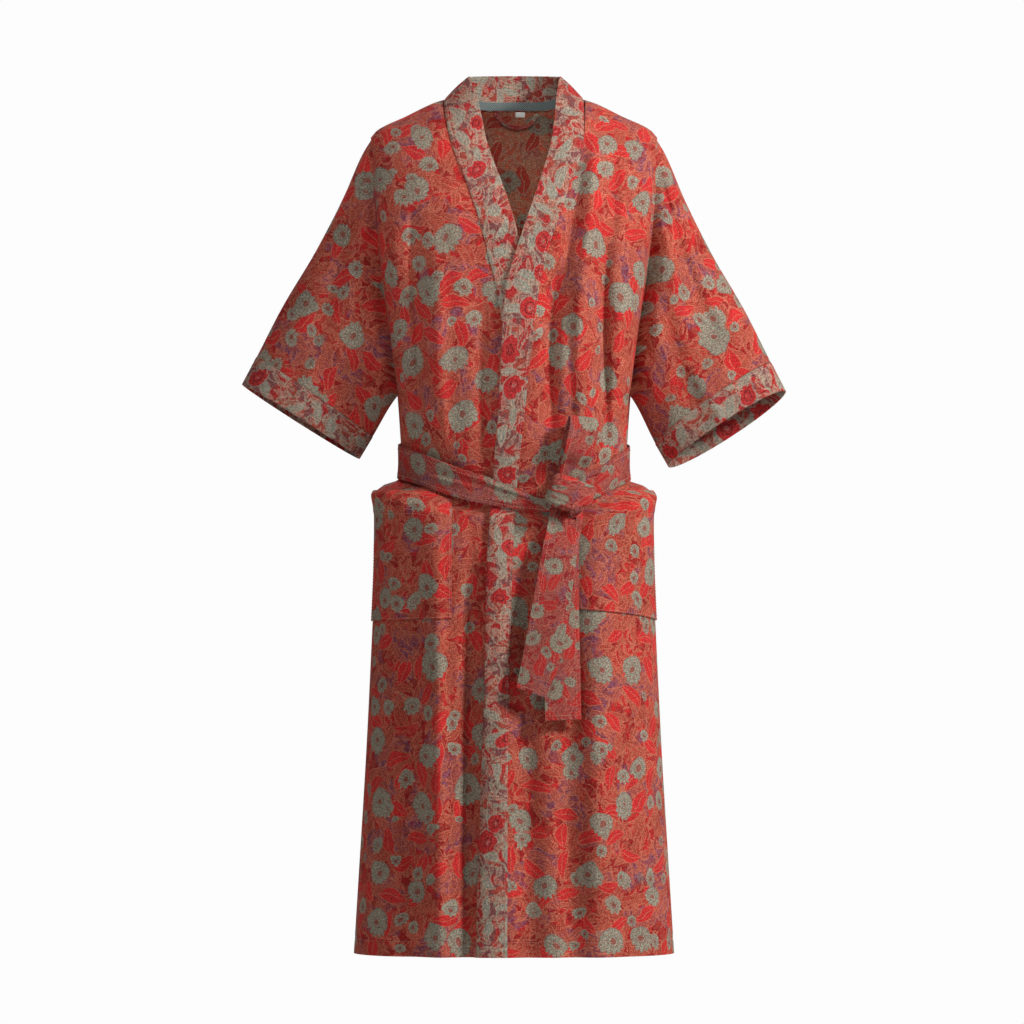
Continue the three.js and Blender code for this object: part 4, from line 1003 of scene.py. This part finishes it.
def border_cloth(name, size=1.0, offset=(0.0, 0.0)):
    """The same cotton with the border print: mauve and coral, close with pale sage sprays and red flowers."""
    material, tree = new_finish(name)
    plain, where = flat_cloth(tree, size, offset)
    patch = add(tree, "TexNoise", where, None, 0.04, 2.0, 0.5, noise_dimensions="2D")
    colour = ink(tree, linear("#7C4A4A"), "#A4443A", inked(tree, patch, 0.46, 0.54))
    blocks = add(tree, "TexNoise", where, None, 0.055, 1.0, 0.5, noise_dimensions="2D")
    colour = ink(tree, colour, "#AE262A", inked(tree, blocks.outputs[0], 0.56, 0.6), 0.85)
    colour = ink(tree, colour, "#9A9682", stems(tree, where, 30.0, 1.3, 17.0), 0.75)
    for spacing, long, wide, shift, fill in ((12.0, 7.0, 2.2, 47.0, False), (21.0, 12.5, 4.8, 9.0, True)):
        inside, across, _, own = leaves(tree, where, spacing, long, wide, shift)
        within = inked(tree, inside, 0.0, 0.5)
        if fill:
            chosen = add(tree, "Math", within, inked(tree, own.outputs[1], 0.34, 0.35), operation="MULTIPLY")
            colour = ink(tree, colour, "#90998A", chosen, 0.8)
        rib = add(tree, "Math", inked(tree, across, 0.8, 0.35), within, operation="MULTIPLY")
        drawn = add(tree, "Math", outline_of(tree, inside, 0.95), rib, operation="MAXIMUM")
        colour = ink(tree, colour, "#B09884", drawn, 0.6)
    inside, far, _, own = blooms(tree, where, 40.0, 12.5, 7.0, 0.12, 29.0, 0.85)
    here = inked(tree, own.outputs[2], 0.36, 0.37)
    body = add(tree, "Math", inked(tree, inside, -0.3, 0.6), here, operation="MULTIPLY")
    colour = ink(tree, colour, "#B8262A", body, 0.95)
    past_ring = add(tree, "Math", far, 4.6, operation="SUBTRACT")
    ring_line = add(tree, "Math", outline_of(tree, past_ring, 0.9), body, operation="MULTIPLY")
    colour = ink(tree, colour, "#7C2428", ring_line, 0.9)
    past_edge = add(tree, "Math", inside, 0.2, operation="ADD")
    rim = add(tree, "Math", outline_of(tree, past_edge, 1.0), here, operation="MULTIPLY")
    colour = ink(tree, colour, "#A09686", rim, 0.6)
    heart = add(tree, "Math", inked(tree, far, 2.6, 1.7), body, operation="MULTIPLY")
    colour = ink(tree, colour, "#A07468", heart, 0.7)
    brushed_cotton(tree, colour, plain, 0.07)
    return material


def herringbone_tape(name):
    """Cotton twill tape, piece dyed blue grey, its ribs 1.6 mm apart."""
    material, tree = new_finish(name)
    spot = add(tree, "UVMap", uv_map="cloth")
    plain = add(tree, "Mapping", spot, None, None, (1000.0,) * 3)
    ribs = add(tree, "TexWave", plain, 0.2, 1.5, 1.0, 1.0, wave_type="BANDS", bands_direction="DIAGONAL")
    grain = add(tree, "TexNoise", plain, None, 0.8, 3.0, 0.6, noise_dimensions="2D")
    both = add(tree, "Math", ribs.outputs[1], grain, operation="MULTIPLY")
    colour = ink(tree, linear("#56605F"), "#828E8C", inked(tree, both, 0.12, 0.5))
    bump = add(tree, "Bump", 0.5, 0.0004)
    tree.links.new(both.outputs[0], bump.inputs["Height"])
    shader = tree.nodes["Principled BSDF"]
    tree.links.new(colour, shader.inputs["Base Color"])
    tree.links.new(bump.outputs[0], shader.inputs["Normal"])
    shader.inputs["Roughness"].default_value = 0.85
    shader.inputs["Sheen Weight"].default_value = 0.1
    return material


def damask_tab(name):
    """Woven satin tab, white and bare, a little shiny across its fine ribs."""
    material, tree = new_finish(name)
    spot = add(tree, "UVMap", uv_map="cloth")
    plain = add(tree, "Mapping", spot, None, None, (1000.0,) * 3)
    ribs = add(tree, "TexWave", plain, 0.35, 0.6, 1.0, 1.0, wave_type="BANDS", bands_direction="Y")
    colour = ink(tree, linear("#E4E2DA"), "#F4F2EC", ribs.outputs[1])
    bump = add(tree, "Bump", 0.3, 0.0003)
    tree.links.new(ribs.outputs[1], bump.inputs["Height"])
    shader = tree.nodes["Principled BSDF"]
    tree.links.new(colour, shader.inputs["Base Color"])
    tree.links.new(bump.outputs[0], shader.inputs["Normal"])
    shader.inputs["Roughness"].default_value = 0.5
    return material


def sewing_thread(name):
    """Spun polyester thread in a dusty coral, two plies twisted, so it is streaked along."""
    material, tree = new_finish(name)
    spot = add(tree, "TexCoord")
    streak = add(tree, "TexNoise", spot.outputs["Object"], None, 900.0, 2.0, 0.6)
    colour = ink(tree, linear("#A85A4C"), "#D69A86", inked(tree, streak, 0.35, 0.65))
    shader = tree.nodes["Principled BSDF"]
    tree.links.new(colour, shader.inputs["Base Color"])
    shader.inputs["Roughness"].default_value = 0.6
    shader.inputs["Sheen Weight"].default_value = 0.2
    return material


def studio_paper(name):
    """Matt seamless background paper, near white, with a very faint mottle."""
    material, tree = new_finish(name)
    spot = add(tree, "TexCoord")
    mottle = add(tree, "TexNoise", spot.outputs["Object"], None, 3.0, 2.0, 0.5)
    colour = ink(tree, linear("#F1F1F0"), "#F7F7F6", mottle)
    shader = tree.nodes["Principled BSDF"]
    tree.links.new(colour, shader.inputs["Base Color"])
    shader.inputs["Roughness"].default_value = 0.95
    return material


robe_print = leafy_print("robe_print_cotton", PALETTES["robe"])
# the wrong side's colours carry painted light: brighter than the real, paler wrong side, to make up for the
# shade inside the robe
robe_inside_painted_light = leafy_print("robe_wrong_side_cotton_painted_light", PALETTES["inside"], sheen=0.04)
belt_print = leafy_print("belt_print_cotton", PALETTES["belt"], size=0.8, offset=(0.35, 0.12))
border_print = border_cloth("border_print_cotton", size=1.3)
neck_tape = herringbone_tape("neck_tape_twill")
white_tab = damask_tab("white_satin_tab")
thread = sewing_thread("coral_thread")
floor.data.materials.append(studio_paper("studio_paper"))


# Face of a piece and rows of stitches
def faced(points, thick, outward):
    """The outer face of a wall on a grid of points, and its normals."""
    normals = np.cross(np.gradient(points, axis=1), np.gradient(points, axis=0))
    normals /= np.maximum(np.linalg.norm(normals, axis=-1, keepdims=True), 1e-9)
    if np.sum(normals * outward(points)) < 0:
        normals = -normals
    return points + normals * thick / 2, normals


STITCH_PITCH = 4.2
STITCH_LONG = 3.1
STITCH_HALF = 0.33
STITCH_SIDES = 5
STITCH_SHAPE = {"along": [0.0, 0.18, 0.5, 0.82, 1.0], "size": [0.45, 0.9, 1.0, 0.9, 0.45],
                "rise": [-0.25, 0.12, 0.3, 0.12, -0.25]}


def stitches(name, runs, thread):
    """Rows of short arched stitches; each run is a line of points on the cloth with its normals."""
    vertices, faces = [], []
    ring_turn = np.linspace(0, 2 * np.pi, STITCH_SIDES, endpoint=False)
    count = len(STITCH_SHAPE["along"])
    for path, normals in runs:
        steps = np.linalg.norm(np.diff(path, axis=0), axis=-1)
        far = np.concatenate([[0], np.cumsum(steps)])
        for start in np.arange(0.6, far[-1] - STITCH_LONG, STITCH_PITCH):
            spots = start + STITCH_LONG * np.array(STITCH_SHAPE["along"])
            place = np.stack([np.interp(spots, far, path[:, i]) for i in range(3)], axis=-1)
            up = np.stack([np.interp(spots, far, normals[:, i]) for i in range(3)], axis=-1)
            way = place[-1] - place[0]
            way /= np.linalg.norm(way)
            side = np.cross(up, way)
            first = len(vertices)
            for i in range(count):
                size = STITCH_HALF * STITCH_SHAPE["size"][i]
                middle = place[i] + up[i] * STITCH_SHAPE["rise"][i]
                for turn in ring_turn:
                    spot = middle + size * (math.cos(turn) * side[i] + math.sin(turn) * up[i])
                    vertices.append(tuple(spot * MM))
            for i in range(count - 1):
                for k in range(STITCH_SIDES):
                    a, b = first + i * STITCH_SIDES + k, first + i * STITCH_SIDES + (k + 1) % STITCH_SIDES
                    faces.append((a, b, b + STITCH_SIDES, a + STITCH_SIDES))
            faces.append(tuple(range(first + STITCH_SIDES - 1, first - 1, -1)))
            last = first + (count - 1) * STITCH_SIDES
            faces.append(tuple(range(last, last + STITCH_SIDES)))
    return keep(closed_mesh(name, vertices, faces, thread), "robe_cloth")


def row_run(face, index):
    return face[0][index], face[1][index]


def column_run(face, index):
    return face[0][:, index], face[1][:, index]


def dent(points, where, width, depth, axis):
    """Press a soft line into a grid of points, at a distance from its first row or column."""
    steps = np.linalg.norm(np.diff(points, axis=axis), axis=-1)
    first = np.zeros_like(np.take(steps, [0], axis=axis))
    far = np.concatenate([first, np.cumsum(steps, axis=axis)], axis=axis)
    normals = np.cross(np.gradient(points, axis=1), np.gradient(points, axis=0))
    normals /= np.maximum(np.linalg.norm(normals, axis=-1, keepdims=True), 1e-9)
    if np.sum(normals * from_axis(points)) < 0:
        normals = -normals
    return points - normals * (depth * np.exp(-(((far - where) / width) ** 2)))[..., None]


# Back, fronts and neckband
body_rows = rows_of_body()
HEM = 20  # the hem is turned up this far and stitched
HEM_ROW = 4
HEM_DENT = (2.2, 0.55)  # width and depth of the line that the stitches press in
SEAM_DENT = (5.0, 0.7)
made = {}
runs = {"body": [], "belt": [], "pocket": [], "cuff": [], "band": []}

back_points = grid_of(back_surface, np.linspace(0, 1, 170), body_rows)
back_points = dent(back_points, HEM, *HEM_DENT, 0)
runs["body"].append(row_run(faced(back_points, CLOTH, from_axis), HEM_ROW))
made["back"] = cloth("back_panel", back_points, CLOTH, robe_print, robe_inside_painted_light, outward=from_axis)
keep(made["back"], "robe_cloth", "back")

for side, sign in SIDES.items():
    points = grid_of(front_surface(side), np.linspace(0, 1, 105), body_rows)
    points = dent(points, HEM, *HEM_DENT, 0)
    points = dent(points, 0, *SEAM_DENT, 1)
    runs["body"].append(row_run(faced(points, CLOTH, from_axis), HEM_ROW))
    piece = cloth(f"front_{side}_panel", points, CLOTH, robe_print, robe_inside_painted_light, outward=from_axis,
                  shift=(0.31 * sign, 0.11))
    made[f"front_{side}"] = keep(piece, "robe_cloth", f"front_{side}")

BAND_COLUMNS = 22
across_band = np.linspace(0, 1, BAND_COLUMNS + 1)
right_part = grid_of(lambda a, v: band_on_front("right", v, a), across_band, body_rows)
neck_part = grid_of(lambda a, s: band_on_back(s, a), across_band, np.linspace(0, 1, 80)[1:-1])
left_part = grid_of(lambda a, v: band_on_front("left", v, a), across_band, body_rows[::-1])
band_points = np.concatenate([right_part, neck_part, left_part])
crown = np.sin(np.pi * across_band) ** 0.7 * 0.9


def from_inside(points):
    """Out of the band: forwards on the fronts, backwards behind the neck."""
    return np.stack([points[..., 0] * 0.3, points[..., 1], 0 * points[..., 2]], axis=-1)


band_face, band_normals = faced(band_points, 0, from_inside)
band_points = band_points + band_normals * crown[None, :, None]
band_face = faced(band_points, FOLDED, from_inside)
runs["band"].append(column_run(band_face, 2))
made["neckband"] = cloth("neckband_strip", band_points, FOLDED, border_print, outward=from_inside,
                         soft_edge=0.7, middle=0.0, lie="band")
keep(made["neckband"], "border_cloth", "neckband")

# Sleeves and cuffs
ARM_OUT = 229.0  # the middle of the sleeve, out from the robe's middle and down from its neck
ARM_DOWN = -300.0
for side, sign in SIDES.items():
    tube = sleeve_surface(side)
    around = np.linspace(0, 2, 161)

    def from_arm(points, sign=sign):
        middle = np.array([sign * ARM_OUT, 0, ARM_DOWN])
        return (points - middle) * np.array([0.3, 1.0, 0.3])

    points = grid_of(tube, around, np.linspace(0, CUFF_AT - 0.001, 100))
    piece = cloth(f"sleeve_{side}_tube", points, CLOTH, robe_print, robe_inside_painted_light, tube=True,
                  outward=from_arm, shift=(0.57 * sign, 0.23), lie="tube")
    made[f"sleeve_{side}"] = keep(piece, "robe_cloth", f"sleeve_{side}")
    points = grid_of(tube, around, np.linspace(CUFF_AT + 0.001, 1, 20))
    cuff_face = faced(points, FOLDED, from_arm)
    runs["cuff"].append(row_run(cuff_face, 2))
    piece = cloth(f"cuff_{side}_band", points, FOLDED, border_print, tube=True,
                  outward=from_arm, soft_edge=0.7, shift=(0.4 * sign, 0.7), lie="tube")
    made[f"cuff_{side}"] = keep(piece, "border_cloth", f"cuff_{side}")

# Pockets
POCKET_TOP = -519
POCKET_INNER = 84
POCKET_OUTER = 1.5
POCKET_STAND = CLOTH + SEAM + EASE
POCKET_UNDER = 3
POCKET_GAPE = 15
POCKETS = {"right": {"inner": -690, "outer": -695}, "left": {"inner": -677, "outer": -694}}
POCKET_CORNER = 2  # its upper outer corner stands off the hip
POCKET_HEM_RISE = 0.8
POCKET_HEM = 29  # depth of the turned hem at the mouth
POCKET_HIGH = 172
POCKET_ROWS = 82


def pocket_points(side, across, up):
    sign, plan = SIDES[side], POCKETS[side]
    across, up = np.broadcast_arrays(np.asarray(across, float), np.asarray(up, float))

    def turned(z):
        return mix(place_on_front(sign * POCKET_INNER + 0 * z, z)[0], sign * POCKET_OUTER, across)

    bottom = mix(plan["inner"], plan["outer"], across)
    under_belt = belt_height(FRONT, turned(POCKET_TOP + 0 * across)) - BELT_HALF - POCKET_UNDER
    z = mix(bottom, np.minimum(POCKET_TOP, under_belt), up)
    angle = turned(z)
    row = flat_ring(z)
    for _ in range(4):
        row = flat_ring(z - sag(FRONT, angle, row["z"]))
    return body_on(FRONT, angle, row, LIFTS[side])


# Soft creases of the pockets, from (across, up) to (across, up) as shares of the pocket
POCKET_CREASES = [
    (0.25, 1.0, 0.35, 0.55, 0.05, -1.3), (0.62, 1.0, 0.5, 0.35, 0.07, 1.4),
    (0.85, 0.9, 0.8, 0.2, 0.05, -1.2), (0.1, 0.2, 0.5, 0.08, 0.05, 0.9),
]
for side, sign in SIDES.items():
    across, up = np.meshgrid(np.linspace(0, 1, 66), np.linspace(0, 1, POCKET_ROWS))
    mouth = ramp((up - 0.25) / 0.75)
    gape = np.sin(np.pi * np.clip(across, 0, 1)) ** 0.8
    stand = POCKET_STAND + POCKET_GAPE * mouth * gape
    stand = stand + POCKET_CORNER * ramp((across - 0.55) / 0.45) * ramp((up - 0.3) / 0.7)
    # the turned hem is one layer thicker
    stand = stand + POCKET_HEM_RISE * ramp((up - 1 + POCKET_HEM / POCKET_HIGH) / 0.012)
    for a0, b0, a1, b1, width, depth in POCKET_CREASES:
        along = (across - a0) * (a1 - a0) + (up - b0) * (b1 - b0)
        along = np.clip(along / ((a1 - a0)**2 + (b1 - b0)**2), 0, 1)
        off = np.hypot(across - mix(a0, a1, along), up - mix(b0, b1, along)) / width
        stand = stand + depth * np.exp(-off * off) * gape * np.sin(np.pi * np.clip(up, 0, 1)) ** 0.5
    # the mouth stands out level
    points = stood_off(lambda a, b, s=side: pocket_points(s, a, b), across, up, (0.05, 0.05), stand,
                       from_axis, (1.0, 1.0, 0.15))
    pocket_face = faced(points, CLOTH, from_axis)
    runs["pocket"].append(column_run(pocket_face, 1))
    runs["pocket"].append(column_run(pocket_face, -2))
    runs["pocket"].append(row_run(pocket_face, 1))
    runs["pocket"].append(row_run(pocket_face, round((POCKET_ROWS - 1) * (1 - POCKET_HEM / POCKET_HIGH))))
    piece = cloth(f"pocket_{side}_patch", points, CLOTH, robe_print, robe_inside_painted_light, outward=from_axis,
                  shift=(0.83 * sign, 0.51), soft_edge=0.45)
    made[f"pocket_{side}"] = keep(piece, "robe_cloth", f"pocket_{side}")

# Belt
# Wrinkles of the belt: from (turn, share up) to (turn, share up), width as a share of its height, rise
BELT_CREASES = [
    (-84, 0.72, -40, 0.45, 0.07, 1.5), (-58, 0.3, -8, 0.58, 0.08, 1.9), (-30, 0.9, 16, 0.72, 0.07, 2.6),
    (-20, 0.18, 14, 0.3, 0.06, 1.5), (-44, 0.62, -22, 0.8, 0.05, -0.6), (-6, 0.44, 16, 0.42, 0.05, -0.7),
    (-331, 0.5, -301, 0.72, 0.09, 1.9), (-329, 0.28, -289, 0.34, 0.07, 1.4),
    (-330, 0.74, -312, 0.86, 0.05, -0.7), (-322, 0.4, -296, 0.5, 0.05, -0.7),
    (-140, 0.6, -104, 0.4, 0.08, 1.2), (-226, 0.35, -172, 0.62, 0.08, 1.3),
    (-262, 0.7, -236, 0.5, 0.07, 1.1), (-200, 0.8, -150, 0.78, 0.06, -0.6),
]
turns, heights = np.meshgrid(np.linspace(BELT_TO, BELT_FROM, 430), np.linspace(0, 1, 25))
stand = BELT_STAND + 0.8 * np.sin(np.pi * heights) ** 0.6
for t0, v0, t1, v1, width, rise in BELT_CREASES:
    along = (turns - t0) / (t1 - t0)
    off = (heights - mix(v0, v1, np.clip(along, 0, 1))) / width
    stand = stand + np.where((along > 0) & (along < 1), rise * np.exp(-off * off)
                             * np.sin(np.pi * np.clip(along, 0, 1)), 0)
belt_points = stood_off(belt_surface, turns, heights, (1.2, 0.05), stand, from_axis)
belt_face = faced(belt_points, FOLDED, from_axis)
runs["belt"] += [row_run(belt_face, 3), row_run(belt_face, -4)]
made["belt_waist"] = cloth("belt_round_waist", belt_points, FOLDED, belt_print, outward=from_axis,
                           soft_edge=0.8, shift=(0.0, 0.37))
keep(made["belt_waist"], "robe_cloth", "belt_waist")

# The loop of the half bow and the two tails
BOW_LOOP = {
    "at": [0, 0.15, 0.2, 0.3, 0.42, 0.5, 0.58, 0.74, 1],
    "x": [73, 75, 77, 79, 84, 88, 87, 80, 73],
    "z": [-528, -496, -485, -463, -432, -418, -432, -466, -528],
    "half": [17, 16.5, 17, 18, 18.5, 19.5, 20, 20, 18],
    "stand": [BELT_STAND + 2 * NEXT, BELT_STAND + 2 * NEXT, 11, 23, 25, 16, 8,
              BELT_STAND + NEXT + EASE, BELT_STAND + NEXT + EASE],
}
BOW_LEAN = 5
at, across = np.meshgrid(np.linspace(0, 1, 130), np.linspace(-0.5, 0.5, 19), indexing="ij")
x = between(BOW_LOOP, "at", "x", at) + 2 * across * between(BOW_LOOP, "at", "half", at)
z = between(BOW_LOOP, "at", "z", at) - BOW_LEAN * across
pulled = np.exp(-(((at - 0.14) / 0.1) ** 2))
stand = between(BOW_LOOP, "at", "stand", at)
stand = stand + pulled * 0.7 * (np.cos(across * 15) - 0.3) + 0.9 * np.sin(np.pi * (across + 0.5)) ** 0.7
# a soft crease slants over the front of the loop
past = at - 0.36
stand = stand - 1.2 * np.exp(-((past / 0.12) ** 2)) * np.exp(-(((across - 0.16 + 0.5 * past) / 0.06) ** 2))
loop_points = off_left_front(x, z, stand)
loop_face = faced(loop_points[:66], FOLDED, to_front)
runs["belt"] += [column_run(loop_face, 2), column_run(loop_face, -3)]
made["belt_loop"] = cloth("belt_bow_loop", loop_points, FOLDED, belt_print, outward=to_front,
                          soft_edge=0.8, shift=(0.15, 0.9))
keep(made["belt_loop"], "robe_cloth", "belt_loop")

TAIL_COLUMNS = ("at", "left_x", "left_z", "right_x", "right_z", "stand")
TAILS = {
    "front": [
        (0, 52, -530, 92, -536, BELT_STAND + 2 * NEXT + EASE),
        (0.14, 44, -567, 87, -574, BELT_STAND + 2 * NEXT + EASE),
        (0.26, 37, -600, 80, -610, 13), (0.55, 24, -672, 69, -684, 14), (0.82, 10, -748, 55, -760, 13.5),
        (1, 3, -783, 41, -797, 13.5),
    ],
    "back": [
        (0, 52, -530, 90, -532, BELT_STAND + NEXT), (0.14, 45, -572, 87, -574, BELT_STAND + NEXT),
        (0.3, 41, -620, 84, -620, 8.5), (0.65, 40, -720, 85, -720, 9), (1, 41, -828, 87, -826, 9),
    ],
}
for name, rows in TAILS.items():
    table = {column: [row[i] for row in rows] for i, column in enumerate(TAIL_COLUMNS)}
    at, across = np.meshgrid(np.linspace(0, 1, 150), np.linspace(0, 1, 23), indexing="ij")
    x = mix(between(table, "at", "left_x", at), between(table, "at", "right_x", at), across)
    z = mix(between(table, "at", "left_z", at), between(table, "at", "right_z", at), across)
    gathered = np.exp(-((at / 0.22) ** 2))
    ripple = 0.8 * np.sin(9 * at + 2.2 * across + len(name)) + 0.9 * gathered * np.cos(across * 14 + 0.6)
    stand = between(table, "at", "stand", at) + ripple + 0.7 * np.sin(np.pi * across) ** 0.7
    points = off_left_front(x, z, stand)
    tail_face = faced(points, FOLDED, to_front)
    runs["belt"] += [column_run(tail_face, 3), column_run(tail_face, -4), row_run(tail_face, -4)]
    piece = cloth(f"belt_{name}_tail", points, FOLDED, belt_print, outward=to_front,
                  soft_edge=0.8, shift=(0.3 + 0.2 * len(name), 0.2), lie="tube")
    made[f"belt_tail_{name}"] = keep(piece, "robe_cloth", f"belt_tail_{name}")

# Knot: a folded turn of the belt that runs down over the rest from the upper left
KNOT = {"x": 70, "z": -523, "thick": 22, "power": 5.0, "along": (26.0, -13.0), "across": (7.5, 23.5)}
KNOT_STAND = BELT_STAND + 2.5 * NEXT + 4 * EASE
KNOT_PROFILE = {"s": [0, 1, 2, 3, 4, 5, 6, 7], "share": [0, 0.5, 0.88, 1, 0.97, 0.84, 0.45, 0],
                "height": [0, 0, 0.02, 0.28, 0.66, 0.9, 0.99, 1]}
KNOT_AROUND = 140
KNOT_CLOTH = 0.03  # metres of print over half of the knot, and where on the cloth it lies
KNOT_SHIFT = 0.95
# Creases on the knot: from (along, across) to (along, across) as shares of its halves, width in mm, depth
KNOT_CREASES = [
    (-1.0, 0.3, 0.2, 0.4, 2.4, -0.8), (-0.6, -0.3, 0.95, -0.5, 2.4, -0.7), (0.1, 0.8, 0.95, 0.3, 2.4, -0.7),
    (-0.9, 0.05, 0.4, 0.0, 3.4, 0.7), (0.2, 0.2, 0.95, 0.0, 3.0, 0.6),
]
levels = np.linspace(0, 7, 62)[1:-1]
turns, levels_2d = np.meshgrid(np.linspace(0, 2 * np.pi, KNOT_AROUND, endpoint=False), levels)
power = KNOT["power"]
rim = (np.abs(np.cos(turns)) ** power + np.abs(np.sin(turns)) ** power) ** (-1 / power)
radius = rim * between(KNOT_PROFILE, "s", "share", levels_2d)
height = between(KNOT_PROFILE, "s", "height", levels_2d)


def knot_place(a, b, height):
    relief = 0.0 * a
    size = np.array([math.hypot(*KNOT["along"]), math.hypot(*KNOT["across"])])
    for a0, b0, a1, b1, width, depth in KNOT_CREASES:
        way = np.array([a1 - a0, b1 - b0]) * size
        off_a, off_b = (a - a0) * size[0], (b - b0) * size[1]
        along = np.clip((off_a * way[0] + off_b * way[1]) / np.sum(way * way), 0, 1)
        off = np.hypot(off_a - way[0] * along, off_b - way[1] * along) / width
        relief = relief + depth * np.exp(-off * off)
    # the fold along the lower and the upper edge is rolled
    roll = 0.7 * (np.exp(-(((np.abs(b) - 0.86) / 0.09) ** 2)) - np.exp(-(((np.abs(b) - 0.66) / 0.07) ** 2)))
    top = ramp((height - 0.3) / 0.4)
    x = KNOT["x"] + a * KNOT["along"][0] + b * KNOT["across"][0]
    z = KNOT["z"] + a * KNOT["along"][1] + b * KNOT["across"][1]
    dome = 2.0 * (a * 0.6) ** 2
    return off_left_front(x, z, KNOT_STAND + KNOT["thick"] * height + (relief + roll - dome) * top)


a = radius * np.cos(turns)
b = radius * np.sin(turns)
rings = knot_place(a, b, height)
poles = knot_place(np.array([0.0, 0.0]), np.array([0.0, 0.0]), np.array([0.0, 1.0]))
vertices = np.concatenate([rings.reshape(-1, 3), poles]) * MM
spots = np.concatenate([np.stack([a, b], axis=-1).reshape(-1, 2), np.zeros((2, 2))]) * KNOT_CLOTH + KNOT_SHIFT
faces = []
for i in range(KNOT_AROUND):
    after = (i + 1) % KNOT_AROUND
    faces.append((rings.shape[0] * KNOT_AROUND, after, i))
    top_row = (rings.shape[0] - 1) * KNOT_AROUND
    faces.append((rings.shape[0] * KNOT_AROUND + 1, top_row + i, top_row + after))
    for r in range(rings.shape[0] - 1):
        faces.append((r * KNOT_AROUND + i, r * KNOT_AROUND + after,
                      (r + 1) * KNOT_AROUND + after, (r + 1) * KNOT_AROUND + i))
knot = closed_mesh("belt_knot_pad", vertices.tolist(), faces, belt_print, spots)
made["belt_knot"] = keep(knot, "robe_cloth", "belt_knot")

# Tape, hanging loop and bare label at the back neck
TAPE_INSET = 4 / 18
TAPE_FROM = 0.03
TAPE_WIDTH = 0.24
share, across = np.meshgrid(np.linspace(TAPE_INSET, 1 - TAPE_INSET, 70),
                            TAPE_FROM + TAPE_WIDTH * np.linspace(0, 1, 8))


def to_neck(points):
    return -from_axis(points)


stand = FOLDED / 2 + SEAM + TAPE / 2 + 0.9 * np.sin(np.pi * across) ** 0.7
tape_points = stood_off(band_on_back, share, across, (0.02, 0.05), stand, to_neck)
made["neck_tape"] = cloth("neck_tape_strip", tape_points, TAPE, neck_tape, outward=to_neck, soft_edge=0.25)
keep(made["neck_tape"], "neck_tape", "neck_tape")

HANGER = {"at": [0, 0.3, 0.5, 0.7, 1], "x": [-26, -12, 4, 20, 33], "z": [-3.5, -18, -23, -19, -3.5]}
HANGER_HALF = 2.8
HANGER_WALL = 2.0


def neck_inside(x, z):
    swing = np.arcsin(np.clip(x / (NECK_HALF + 2), -1, 1))
    seam = band_on_back(swing / np.pi + 0.5, 0 * swing)
    return np.stack([x, seam[..., 1] - FOLDED / 2 - SEAM - TAPE / 2, z], axis=-1)


def hanger_points(at, across):
    spot = np.clip(at, 0, 1)
    way_x = between(HANGER, "at", "x", spot + 0.02) - between(HANGER, "at", "x", spot - 0.02)
    way_z = between(HANGER, "at", "z", spot + 0.02) - between(HANGER, "at", "z", spot - 0.02)
    length = np.hypot(way_x, way_z)
    off = HANGER_HALF * across
    x = between(HANGER, "at", "x", spot) - way_z / length * off
    z = between(HANGER, "at", "z", spot) + way_x / length * off
    point = neck_inside(x, z)
    point[..., 1] -= HANGER_WALL * np.sin(np.pi * spot) + 0.4 * (1 - across**2)
    return point


hanger_grid = grid_of(hanger_points, np.linspace(0, 1, 80), np.linspace(-1, 1, 9))
made["hanging_loop"] = cloth("hanging_loop_strip", hanger_grid, HANGER_WALL, belt_print, outward=to_front,
                             soft_edge=0.6, shift=(0.9, 0.3), lie="tube")
keep(made["hanging_loop"], "robe_cloth", "hanging_loop")

LABEL = {"from": 2, "to": 15, "high": -1.5, "low": -8.5}
label_grid = np.meshgrid(np.linspace(LABEL["from"], LABEL["to"], 16),
                         np.linspace(LABEL["low"], LABEL["high"], 10))
label_points = neck_inside(*label_grid)
label_points[..., 1] -= 0.25 * np.sin(label_grid[0] / 3.1)
made["neck_label"] = cloth("neck_label_tab", label_points, TAPE, white_tab, outward=to_front, soft_edge=0.3)
keep(made["neck_label"], "neck_label", "neck_label")

# Stitches: the run that each row of objects follows, its name, and the sheet that carries it
STITCHED = {"body": ("hem_stitches", "back"), "pocket": ("pocket_stitches", "pocket_right"),
            "belt": ("belt_stitches", "belt_waist"), "cuff": ("cuff_stitches", "cuff_right"),
            "band": ("neckband_stitches", "neckband")}
sewn_on = {piece: [stitches(name, runs[part], thread)] for part, (name, piece) in STITCHED.items()}
